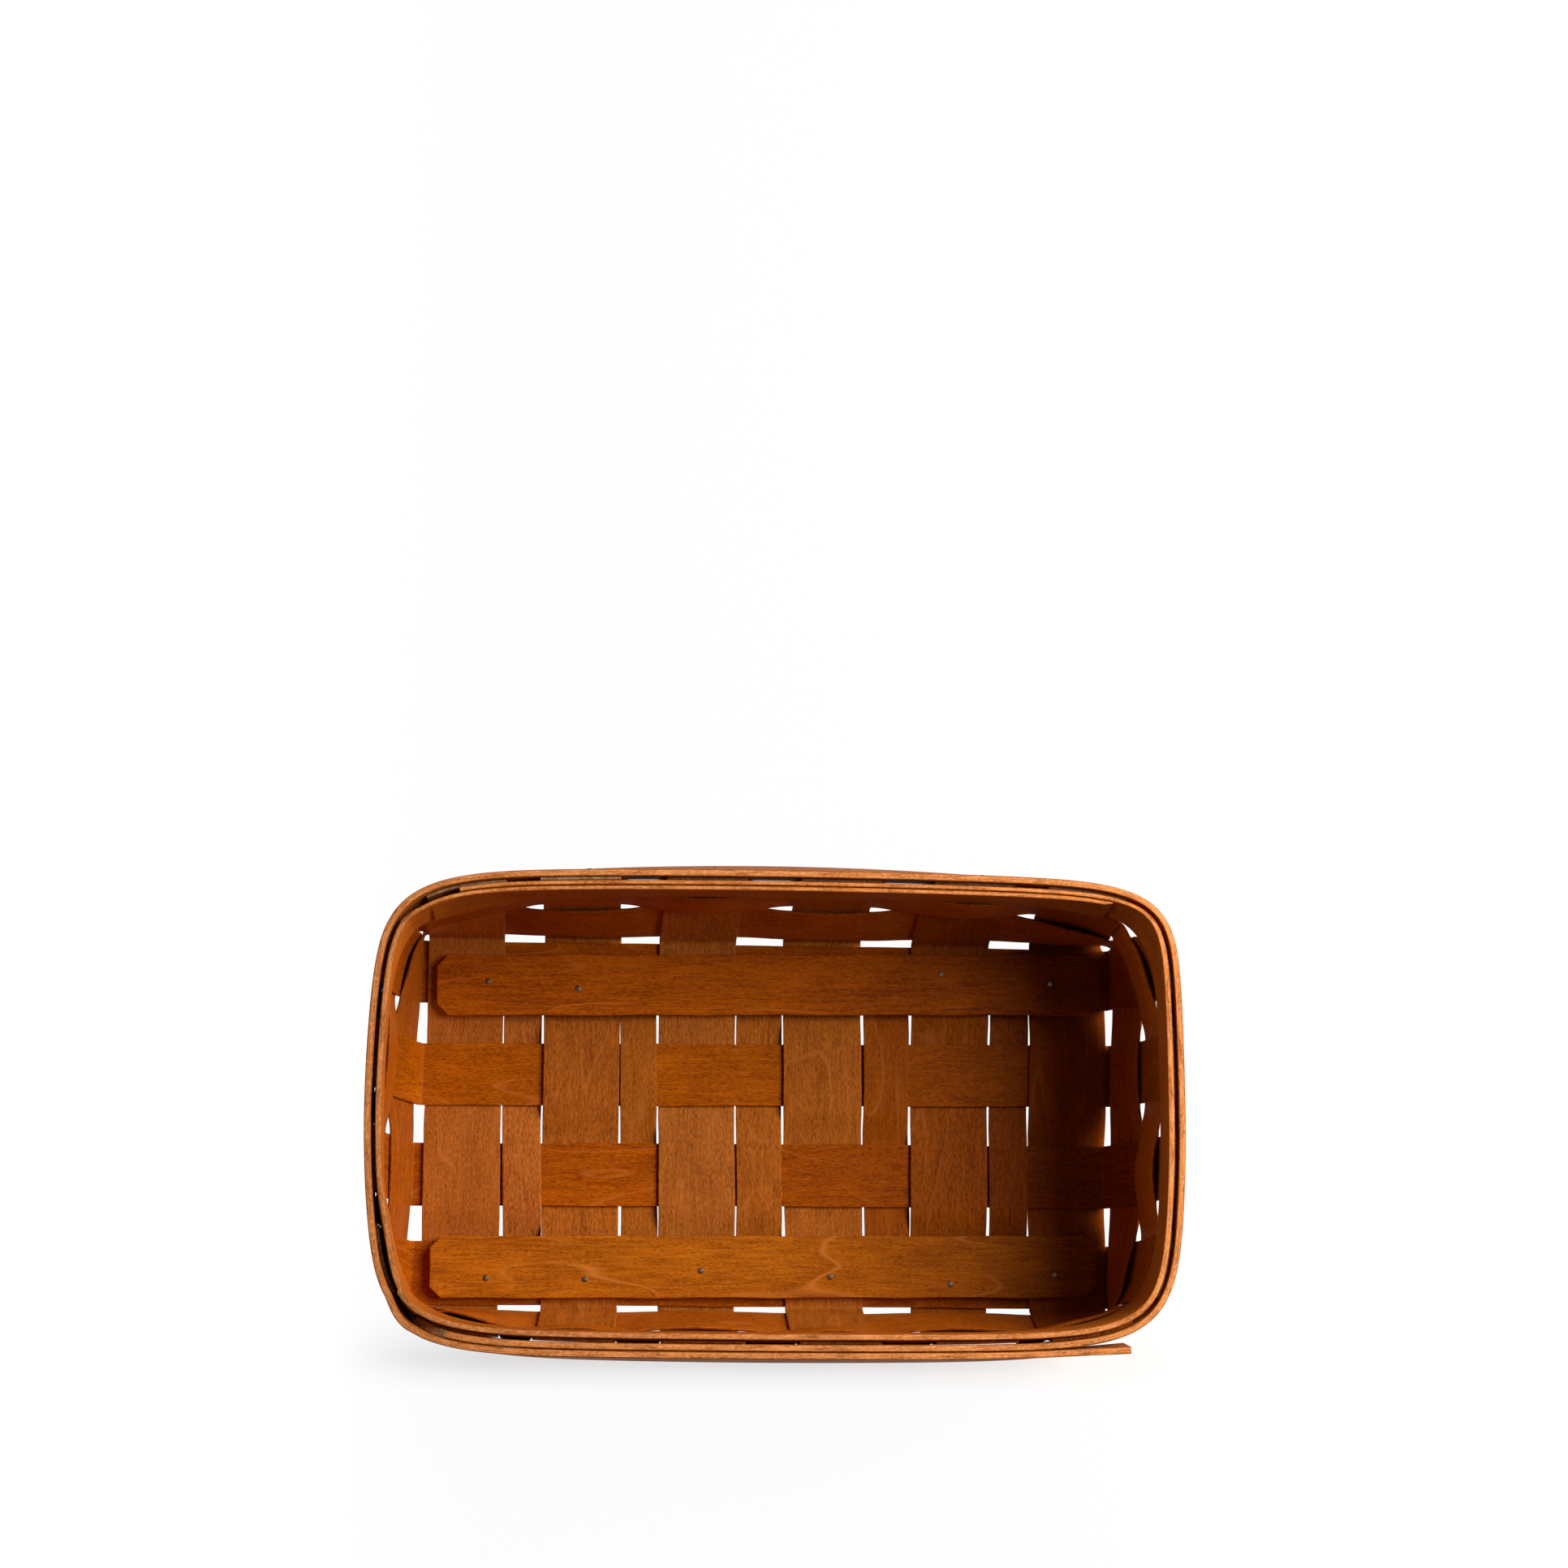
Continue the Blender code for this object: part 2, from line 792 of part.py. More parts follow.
def outer_band_offset(station):
    """The outer band's middle: close to the uprights, and outside its own start on its return."""
    inner_turn = splint_thickness / 2 + touch_clearance + outer_band_thickness / 2
    outer_turn = inner_turn + outer_band_thickness + touch_clearance
    rise_start = LEFT + outer_lap_begin_share
    rise_end = STRETCHES + outer_lap_full_share
    return mix(inner_turn, outer_turn, ease((station - rise_start) / (rise_end - rise_start)))


def with_tail(rows, length):
    """Adds a straight end that runs on from the last two rows."""
    tail = []
    for before, last in zip(rows[-2], rows[-1]):
        ahead = (last.middle - before.middle)
        ahead.z = 0
        tail.append(last._replace(middle=last.middle + ahead.normalized() * length, station=last.station + 1))
    return rows + [tail]


def outer_band_rows():
    rows = []
    for station in band_stations(outer_band_start_share, STRETCHES + outer_band_free_share):
        flare = outer_band_flare(station)
        rows.append(band_row(station, outer_band_offset(station), outer_band_thickness, flare))
    return with_tail(rows, outer_band_tail_length)


def inner_band_lay(station):
    """The inner band's offset and thickness. Both its ends are thinned where they lap on the back."""
    beside = splint_thickness / 2 + touch_clearance
    first_thickness = skived_thickness
    full = (-(beside + inner_band_thickness / 2), inner_band_thickness)
    first = (-(beside + first_thickness / 2), first_thickness)
    second = (-(beside + first_thickness + touch_clearance + skived_thickness / 2), skived_thickness)
    if station > RIGHT:
        thinning_start = RIGHT + skive_begin_share
        thinning_end = BACK_RIGHT + skive_full_share
        share = ease((station - thinning_start) / (thinning_end - thinning_start))
        return tuple(mix(start, end, share) for start, end in zip(full, first))
    turn_start = LEFT - STRETCHES + inner_lap_begin_share
    turn_end = BACK - STRETCHES + inner_lap_full_share
    share = ease((station - turn_start) / (turn_end - turn_start))
    return tuple(mix(start, end, share) for start, end in zip(full, second))


def inner_band_rows():
    start = BACK + inner_band_start_share
    end = BACK - STRETCHES + inner_band_end_share
    rows = []
    for station in band_stations(start, end):
        offset, thickness = inner_band_lay(station)
        rows.append(band_row(station, offset, thickness))
    offset, thickness = inner_band_lay(end)
    outer_face = offset + thickness / 2
    tip_station = end - inner_band_tip_share
    rows.append(band_row(tip_station, outer_face - skived_tip_thickness / 2, skived_tip_thickness))
    return rows


def rim_nail_places():
    """The outer face at the middle of each upright, but for the one behind the band's free end."""
    height = RIM_FOOT + rim_nail_height_share
    places = []
    for group in upright_stations():
        station = mix(group[0], group[-1], rim_nail_across_share)
        on_return = station < outer_band_free_share
        if outer_band_free_share < station < 1:
            continue
        turn = station + STRETCHES if on_return else station
        lean = outer_band_flare(station) * (1 - rim_nail_height_share) / (1 - band_foot_share)
        face = outer_band_offset(turn) + outer_band_thickness / 2 + lean
        depth = face - splint_thickness / 2 - touch_clearance
        normal = segment_normal(station, height, RIM_FOOT)
        places.append((wall_point(station, height) + normal * face, normal, depth))
    return places


# Nails and boards

def lathe(mesh, profile, place, axis):
    """Turns (radius, height) pairs about an axis. The first and last pairs lie on the axis."""
    turn = axis.to_track_quat("Z", "Y")
    rings = []
    for radius, height in profile:
        if radius == 0:
            rings.append([mesh.verts.new(place + turn @ Vector((0, 0, height)))])
            continue
        ring = []
        for side in range(nail_sides):
            angle = 2 * math.pi * side / nail_sides
            spot = Vector((radius * math.cos(angle), radius * math.sin(angle), height))
            ring.append(mesh.verts.new(place + turn @ spot))
        rings.append(ring)
    for lower, upper in zip(rings, rings[1:]):
        for side in range(nail_sides):
            after = (side + 1) % nail_sides
            corners = [lower[side % len(lower)], lower[after % len(lower)]]
            corners += [upper[after % len(upper)], upper[side % len(upper)]]
            unique = list(dict.fromkeys(corners))
            mesh.faces.new(unique)


def nail_profile(depth):
    """A nail from its cut point to the crown of its head, with height 0 on the wood's face."""
    return [
        (0, -depth),
        (nail_shank_radius, -depth),
        (nail_shank_radius, touch_clearance),
        (nail_head_radius, touch_clearance),
        (nail_head_radius, touch_clearance + nail_head_height / 2),
        (0, touch_clearance + nail_head_height),
    ]


def hole_profile(depth):
    radius = nail_shank_radius + touch_clearance
    return [(0, -depth), (radius, -depth), (radius, cut_overrun), (0, cut_overrun)]


def lathe_mesh(name, profile_of, places):
    mesh = bmesh.new()
    for place, axis, depth in places:
        lathe(mesh, profile_of(depth), place, axis)
    bmesh.ops.recalc_face_normals(mesh, faces=mesh.faces)
    data = bpy.data.meshes.new(name)
    mesh.to_mesh(data)
    mesh.free()
    return data


def add_nails(name, places):
    """One nail for each place on the wood's face, pointing against its axis."""
    for index, place in enumerate(places):
        full_name = f"{name}_{index + 1}"
        add_object(full_name, lathe_mesh(full_name, nail_profile, [place]), (0.30, 0.29, 0.27), 0.35, 1.0)


def drill(thing, places):
    """Cuts a hole for each nail through a piece."""
    through = [(place, axis, depth + cut_overrun) for place, axis, depth in places]
    name = f"{thing.name}_holes"
    cutter = bpy.data.objects.new(name, lathe_mesh(name, hole_profile, through))
    bpy.context.scene.collection.objects.link(cutter)
    cutter.hide_render = True
    cutter.display_type = "WIRE"
    cut = thing.modifiers.new("holes", "BOOLEAN")
    cut.operation = "DIFFERENCE"
    cut.solver = "EXACT"
    cut.object = cutter


def board_length(end_margin):
    return (cross_half_span() - end_margin) * 2


def board_mesh(name, length):
    """A thin board with clipped corners, centred on its underside."""
    half_length = length / 2
    half_width = board_width / 2
    clipped_x = half_length - board_corner_clip
    clipped_y = half_width - board_corner_clip
    outline = [
        (-clipped_x, -half_width), (clipped_x, -half_width), (half_length, -clipped_y),
        (half_length, clipped_y), (clipped_x, half_width), (-clipped_x, half_width),
        (-half_length, clipped_y), (-half_length, -clipped_y),
    ]
    mesh = bmesh.new()
    underside = mesh.faces.new([mesh.verts.new((x, y, 0)) for x, y in outline])
    raised = bmesh.ops.extrude_face_region(mesh, geom=[underside])
    top = [part for part in raised["geom"] if isinstance(part, bmesh.types.BMVert)]
    bmesh.ops.translate(mesh, verts=top, vec=(0, 0, board_thickness))
    bmesh.ops.recalc_face_normals(mesh, faces=mesh.faces)
    data = bpy.data.meshes.new(name)
    mesh.to_mesh(data)
    mesh.free()
    return data


def board_with_nails(side, length, x, y, skew, nail_shares):
    """A board that lies on the base weave, and the nails that hold it down."""
    name = f"base_board_{side}"
    board = add_object(name, board_mesh(name, length), (0.34, 0.09, 0.008), 0.38)
    board.location = (x, y, base_top() + touch_clearance)
    board.rotation_euler = (0, 0, skew)
    up = Vector((0, 0, 1))
    turn = Matrix.Rotation(skew, 3, up)
    places = []
    for along, across in nail_shares:
        spot = Vector((along * length, across * board_width, board_thickness))
        places.append((board.location + turn @ spot, up, board_thickness))
    add_nails(f"board_nail_{side}", places)
    drill(board, places)


def rim():
    outer = add_object("rim_outer", sheet_mesh("rim_outer", outer_band_rows()), (0.52, 0.20, 0.05), 0.5)
    add_object("rim_inner", sheet_mesh("rim_inner", inner_band_rows()), (0.50, 0.19, 0.05), 0.5)
    places = rim_nail_places()
    add_nails("rim_nail", places)
    drill(outer, places)


def centre_in_plan():
    """Moves the basket so that its greatest depth, with the outer band's lap, is centred."""
    basket = bpy.data.objects.new("basket", None)
    bpy.context.scene.collection.objects.link(basket)
    for thing in list(bpy.data.objects):
        if thing != basket:
            thing.parent = basket
    lap = outer_band_thickness + touch_clearance
    basket.location.y = (lap + front_band_flare - back_band_flare) / 2


def main():
    clear_scene()
    for index, cross in enumerate(range(0, len(cross_strips()), 2)):
        upright_cross(index + 1, cross)
    for index, cross in enumerate(range(1, len(cross_strips()), 2)):
        base_filler(index + 1, cross)
    for long in range(len(long_strips())):
        upright_long(long + 1, long)
    weaver("weaver_lower", FOOT, LOWER_WEAVER_SIDE, lower_weaver_bow, foot_give, foot_bow_share)
    weaver("weaver_upper", UPPER_FOOT, -LOWER_WEAVER_SIDE, upper_weaver_bow, 0, 1)
    rim()
    back_length = board_length(back_board_end_margin)
    front_length = board_length(front_board_end_margin)
    board_with_nails("back", back_length, back_board_x, back_board_y, back_board_skew, back_nail_shares)
    board_with_nails("front", front_length, front_board_x, front_board_y, front_board_skew, front_nail_shares)
    centre_in_plan()


main()
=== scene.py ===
"""Looks for the rectangular splint basket: detailed strips, bands, boards and nails, with wood
and steel materials, a pale floor, soft light and the camera."""

import math
import random

import bpy
import numpy as np
from mathutils import Euler, Matrix, Vector

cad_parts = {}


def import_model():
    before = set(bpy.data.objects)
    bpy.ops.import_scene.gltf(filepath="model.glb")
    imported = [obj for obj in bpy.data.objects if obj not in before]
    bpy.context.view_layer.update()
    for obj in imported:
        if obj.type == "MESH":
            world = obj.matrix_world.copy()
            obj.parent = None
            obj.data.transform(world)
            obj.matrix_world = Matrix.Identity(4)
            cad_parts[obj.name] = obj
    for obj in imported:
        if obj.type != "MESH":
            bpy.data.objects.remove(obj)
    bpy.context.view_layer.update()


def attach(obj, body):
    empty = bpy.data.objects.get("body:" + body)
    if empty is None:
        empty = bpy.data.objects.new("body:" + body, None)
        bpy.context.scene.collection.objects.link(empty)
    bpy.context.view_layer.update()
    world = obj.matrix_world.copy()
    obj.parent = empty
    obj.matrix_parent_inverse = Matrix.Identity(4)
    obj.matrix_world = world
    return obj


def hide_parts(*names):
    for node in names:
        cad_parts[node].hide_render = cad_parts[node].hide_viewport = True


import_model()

# Sizes in metres, as in the CAD model. T is a splint's thickness, other names ending in T are
# thicknesses too, and W, H and R end a width, a height and a radius
T = 0.0010
WEAVE = T + 0.00035
TOUCH = 0.0003
BAND_T = 0.0027
INNER_T = 0.0025
SKIVED_T = 0.0018
TIP_T = 0.0006
BAND_H = 0.0190
FOLD_R = 0.0020
FOOT_GIVE = 0.0009
Z_MID = T / 2 + WEAVE
BOARD_Z = Z_MID + WEAVE + T / 2 + TOUCH
BOARD_T = 0.0030
BOARD_W = 0.0248

WIDE_W = 0.0310
WIDTHS = [WIDE_W, 0.0150, WIDE_W, 0.0150, WIDE_W, 0.0182, WIDE_W, 0.0182, WIDE_W, 0.0150, WIDE_W]
CROSS_GAP = 0.00117
LONG_W = 0.0254
LONG_GAP = 0.01535
WEAVER_W = 0.0254
WEAVER_GAP = 0.0022

# Stations run round the wall from its front left corner. Even stretches are the four walls and
# odd ones the corners between them
FRONT, RIGHT, BACK, LEFT = 0, 2, 4, 6
BAND_START = FRONT + 0.0425
FREE_END = 8 + FRONT + 0.86
FREE_TAIL = 0.036

# How much further out the outer band's foot stands than its top, in the middle of a wall
FLARE = {FRONT: 0.0010, BACK: 0.0045}
PLAN_SHIFT = (BAND_T + TOUCH + FLARE[FRONT] - FLARE[BACK]) / 2


def strips(widths, gap):
    """The low and high edges of strips side by side, centred on zero."""
    edge = -(sum(widths) + gap * (len(widths) - 1)) / 2
    out = []
    for width in widths:
        out.append((edge, edge + width))
        edge += width + gap
    return out


CROSS = strips(WIDTHS, CROSS_GAP)
LONG = strips([LONG_W] * 4, LONG_GAP)[::-1]
XH = CROSS[-1][1]
YH = LONG[0][1]
WIDE = CROSS[::2]


def is_over(cross, long):
    """Whether a cross splint or filler passes over a long splint."""
    if cross % 2 == 0:
        return (cross // 2 + long) % 2 == 0
    return False if long in (0, 3) else is_over(cross - 1, long)


def crossing_z(cross, long):
    return Z_MID + (WEAVE if is_over(cross, long) else -WEAVE)


# The wall surface
def squareness_through(x_share, y_share):
    """The exponent of the superellipse through a point, given as shares of its half lengths."""
    low, high = 1.0, 400.0
    for _ in range(60):
        middle = (low + high) / 2
        if x_share ** middle + y_share ** middle > 1:
            low = middle
        else:
            high = middle
    return middle


# Each corner's share of the room between the two uprights beside it
CORNERS = {(-1, -1): 0.92, (1, -1): 1.00, (1, 1): 1.24, (-1, 1): 0.97}
CROSS_LEAN, LONG_LEAN = 0.0020, 0.0022


def end_bow(x, y, bow):
    """The share of an end wall's reach that it loses toward its corners."""
    return bow * np.where(x < 0, np.where(y < 0, 0.060, 0.040), np.where(y < 0, 0.045, 0.017))


def side_bow(y, bow):
    """The same for the front and back walls."""
    return bow * np.where(y < 0, 0.018, 0.030)


def corner_exponents(a, b, gap, uneven, lean, shift, skew, bow):
    out = {}
    for (right, back), share in CORNERS.items():
        y = back * (YH - LONG_LEAN * lean + gap * (share if uneven else 1))
        x = right * (XH - CROSS_LEAN * lean) - shift - skew * y
        u = t = 1
        for _ in range(6):
            u = abs(x) / (a * (1 - end_bow(x, y, bow) * t ** 2))
            t = abs(y) / (b * (1 - side_bow(y, bow) * u ** 2))
        out[right, back] = squareness_through(u, t)
    return out


def wall_levels():
    """The wall's outline at its six heights, from the foot to the rim's top."""
    lower, upper = math.radians(19.0), math.radians(4.5)
    rim_flare, rim_gap = 0.0004, 0.0032
    set_out = INNER_T + TOUCH - WEAVE + rim_flare
    # Rise, run, corner gap, whether the corners differ, and the shares of lean, shift and bow
    steps = [
        (0, 0, 0.0022, False, 0, 1, 0),
        (WEAVER_W * math.cos(lower), WEAVER_W * math.sin(lower), 0.0018, False, 0.4, 1, 0.5),
        (WEAVER_GAP * math.cos(lower), WEAVER_GAP * math.sin(lower), 0.0024, False, 0.4, 1, 0.5),
        (WEAVER_W * math.cos(upper), WEAVER_W * math.sin(upper), 0.0038, True, 0.9, 0.5, 0.9),
        (rim_gap, rim_gap * math.sin(upper) + set_out, 0.0068, True, 1, 0, 1),
        (BAND_H, 0, 0.0098, True, 1, 0, 1),
    ]
    levels = []
    z, a, b = 0.0054, XH + 0.0034, YH + 0.0028
    for rise, run, gap, uneven, lean, part, bow in steps:
        z, a, b = z + rise, a + run, b + run
        shift, skew = -0.0006 * part, 0.025 * part
        n = corner_exponents(a, b, gap, uneven, lean, shift, skew, bow)
        levels.append((z, a, b, n, lean, shift, skew, bow))
    return levels


LEVELS = wall_levels()
FOOT, LOW_TOP, UP_FOOT, UP_TOP, RIM_FOOT, RIM_TOP = range(6)


def leaned(start, neighbour, outermost, fan, corner):
    """How far an upright's top has moved along its wall: outward by its fan share, or in from a
    corner."""
    share = np.clip((np.abs(start) - neighbour) / (outermost - neighbour), 0, 1)
    return np.sign(start) * (np.abs(start) * fan * (1 - share) - corner * share)


def other(share, n):
    """A superellipse's second coordinate, from its first."""
    return (1 - np.minimum(np.abs(share), 1) ** n) ** (1 / n)


def exponent(n, x, y):
    """The exponent of the corner that a point is in."""
    front = np.where(x < 0, n[-1, -1], n[1, -1])
    back = np.where(x < 0, n[-1, 1], n[1, 1])
    return np.where(y < 0, front, back)


def long_wall(x, sign, level):
    z, a, b, n, lean, shift, skew, bow = level
    x = x + lean * leaned(x, WIDE[-2][1], WIDE[-1][0], 0.025, CROSS_LEAN)
    y = sign * b * np.ones_like(x)
    t = 1
    for _ in range(6):
        local = x - shift - skew * y
        u = local / (a * (1 - end_bow(local, sign, bow) * t ** 2))
        t = other(u, exponent(n, local, sign))
        y = sign * t * b * (1 - side_bow(sign, bow) * u ** 2)
    return np.stack([x, y, np.full_like(x, z)], -1)


def short_wall(y, sign, level):
    z, a, b, n, lean, shift, skew, bow = level
    y = y + lean * leaned(y, LONG[1][1], LONG[0][0], 0.0, LONG_LEAN)
    u = 1
    for _ in range(6):
        t = y / (b * (1 - side_bow(y, bow) * u ** 2))
        u = other(t, exponent(n, sign, y))
    x = sign * u * a * (1 - end_bow(sign, y, bow) * t ** 2) + shift + skew * y
    return np.stack([x, y, np.full_like(y, z)], -1)


def corner(first, last, share, level):
    """Points round a corner, by their angle from the outline's middle."""
    z, a, b, n, _, shift, skew, bow = level
    start = math.atan2(first[1], first[0] - shift - skew * first[1])
    turn = (math.atan2(last[1], last[0] - shift - skew * last[1]) - start) % (2 * math.pi)
    angle = start + turn * share
    c, s = np.cos(angle), np.sin(angle)
    n = exponent(n, c, s)
    u = t = 1
    for _ in range(6):
        half_x = a * (1 - end_bow(c, s, bow) * t ** 2)
        half_y = b * (1 - side_bow(s, bow) * u ** 2)
        reach = (np.abs(c / half_x) ** n + np.abs(s / half_y) ** n) ** (-1 / n)
        u, t = reach * np.abs(c) / half_x, reach * np.abs(s) / half_y
    y = reach * s
    return np.stack([reach * c + shift + skew * y, y, np.full_like(angle, z)], -1)


def outline(station, level):
    """Points of one level's outline at an array of stations."""
    stretch = np.floor(station).astype(int) % 8
    share = station - np.floor(station)
    out = np.zeros(station.shape + (3,))
    walls = [(long_wall, 1, -1), (short_wall, 1, 1), (long_wall, -1, 1), (short_wall, -1, -1)]

    def side(index, t):
        way, direction, sign = walls[index % 4]
        return way(direction * (2 * t - 1) * (XH if way is long_wall else YH), sign, level)

    for index in range(8):
        here = stretch == index
        if not here.any():
            continue
        if index % 2 == 0:
            out[here] = side(index // 2, share[here])
        else:
            before, after = side(index // 2, np.array(1.0)), side(index // 2 + 1, np.array(0.0))
            out[here] = corner(before, after, share[here], level)
    return out


def wall(station, height):
    """Points of the uprights' middle surface. A height of 1.5 is halfway from level 1 to 2."""
    station, height = np.broadcast_arrays(np.asarray(station, float), np.asarray(height, float))
    lower = np.minimum(np.floor(height).astype(int), RIM_FOOT)
    out = np.zeros(station.shape + (3,))
    for k in range(5):
        here = lower == k
        if here.any():
            foot = outline(station[here], LEVELS[k])
            top = outline(station[here], LEVELS[k + 1])
            out[here] = foot + (top - foot) * (height[here] - k)[..., None]
    return out


def unit(v):
    """Vectors made one long."""
    return v / np.maximum(np.linalg.norm(v, axis=-1, keepdims=True), 1e-12)


def wall_normal(station, height, segment):
    """The wall's outward unit normals, for points between a level and the next."""
    station, height = np.broadcast_arrays(np.asarray(station, float), np.asarray(height, float))
    along = wall(station + 0.004, height) - wall(station - 0.004, height)
    up = outline(station, LEVELS[segment + 1]) - outline(station, LEVELS[segment])
    return unit(np.cross(along, up))


def ease(share):
    """A smooth step from 0 to 1."""
    return (1 - np.cos(math.pi * np.clip(share, 0, 1))) / 2


def front_s(x):
    return FRONT + (x / XH + 1) / 2


def back_s(x):
    return BACK + (1 - x / XH) / 2


def right_s(y):
    return RIGHT + (y / YH + 1) / 2


def left_s(y):
    return LEFT + (1 - y / YH) / 2


# Smooth seeded wobble
def wobble(seed, scale, size):
    """A smooth curve of about the given size, as a function of a length array."""
    rng = random.Random(seed)
    waves = []
    for octave in (1.0, 2.3, 4.9):
        waves.append((octave * rng.uniform(0.8, 1.25) / scale, rng.uniform(0, 6.283), 1 / octave))
    total = sum(w[2] for w in waves)

    def curve(s):
        value = sum(amount * np.sin(6.283 * rate * s + phase) for rate, phase, amount in waves)
        return value * size / total
    return curve


# Sheets to solid meshes
def across_steps(width, count, radius):
    """Places across a strip, close together at its edges where they are rounded."""
    edge = [radius * step for step in (0, 0.15, 0.4, 0.75, 1.2)]
    inner = np.linspace(edge[-1], width - edge[-1], count)[1:-1]
    return np.array([*edge, *inner, *(width - e for e in edge[::-1])])


def roundness(places, width, radius, half):
    """The half thickness at places across a strip with rounded edges."""
    d = np.clip(np.minimum(places, width - places) / radius, 0, 1)
    lift = np.sqrt(1 - (1 - d) ** 2)
    return half - min(radius, half * 0.8) * (1 - lift)


def solid(name, middle, normal, half, u, v, closed=False, flip=False, first_end=3):
    """A closed mesh from a grid of middle points, unit normals and half thicknesses.

    Rows run along the strip and columns across it. Material slot 0 is the inner face, 1 the
    outer face, 2 the long edges and 3 the sawn ends. The UV map holds metres along and across.
    """
    rows, cols = middle.shape[:2]
    half = np.broadcast_to(half, (rows, cols))
    away = normal * half[..., None]
    verts = np.concatenate([middle - away, middle + away]).reshape(-1, 3)
    count = rows * cols
    index = np.arange(count).reshape(rows, cols)
    spans = rows if closed else rows - 1
    faces, mats, uvs = [], [], []

    def add(quad, spots, slot, turned=flip):
        step = -1 if turned else 1
        faces.append(quad[::step])
        uvs.extend(spots[::step])
        mats.append(slot)

    u = np.broadcast_to(u, (rows, cols))
    v = np.broadcast_to(v, (rows, cols))
    if closed:
        u = np.vstack([u, [2 * u[-1] - u[-2]]])
        v = np.vstack([v, v[:1]])
    for r in range(spans):
        n = (r + 1) % rows
        for c in range(cols - 1):
            quad = (index[r, c], index[n, c], index[n, c + 1], index[r, c + 1])
            spots = [(u[k], v[k]) for k in ((r, c), (r + 1, c), (r + 1, c + 1), (r, c + 1))]
            add([quad[k] for k in (0, 3, 2, 1)], [spots[k] for k in (0, 3, 2, 1)], 0)
            add([k + count for k in quad], spots, 1)
        for c, sign in ((0, 1), (cols - 1, -1)):
            a, b = index[r, c], index[n, c]
            w = v[r, c]
            past = w - sign * 2 * float(half[r, c])
            spots = [(u[r, c], w), (u[r + 1, c], w), (u[r + 1, c], past), (u[r, c], past)]
            add((a, b, b + count, a + count), spots, 2, flip == (sign > 0))
    if not closed:
        for r, sign in ((0, -1), (rows - 1, 1)):
            for c in range(cols - 1):
                a, e = index[r, c], index[r, c + 1]
                w = float(half[r, c])
                spots = [(-w, v[r, c]), (-w, v[r, c + 1]), (w, v[r, c + 1]), (w, v[r, c])]
                add((a, e, e + count, a + count), spots, 3 if r else first_end, flip == (sign > 0))
    data = bpy.data.meshes.new(name)
    verts[:, 1] += PLAN_SHIFT
    verts[:, 2] = np.maximum(verts[:, 2], 0)
    data.from_pydata(verts.tolist(), [], faces)
    data.polygons.foreach_set("material_index", mats)
    layer = data.uv_layers.new(name="Strand")
    layer.data.foreach_set("uv", np.array(uvs, dtype=float).ravel())
    data.shade_smooth()
    data.set_sharp_from_angle(angle=math.radians(50))
    data.update()
    return data


def grid_normals(points, reference):
    """Unit normals of a closed grid of points, on the side of a rough reference normal."""
    wrapped = np.concatenate([points[-1:], points, points[:1]])
    along = wrapped[2:] - wrapped[:-2]
    normal = unit(np.cross(along, np.gradient(points, axis=1)))
    return normal * np.where((normal * reference).sum(-1, keepdims=True) < 0, -1, 1)


def along_length(points):
    """The length along the middle column of a grid."""
    line = points[:, points.shape[1] // 2]
    step = np.linalg.norm(np.diff(line, axis=0), axis=-1)
    return np.concatenate([[0], np.cumsum(step)])


def new_object(name, data):
    thing = bpy.data.objects.new(name, data)
    bpy.context.scene.collection.objects.link(thing)
    return thing


def place(name, data, nodes, materials, slot):
    """Shows a piece instead of its CAD nodes."""
    thing = new_object(name, data)
    for material in materials:
        data.materials.append(material)
    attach(thing, "root")
    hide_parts(*nodes)


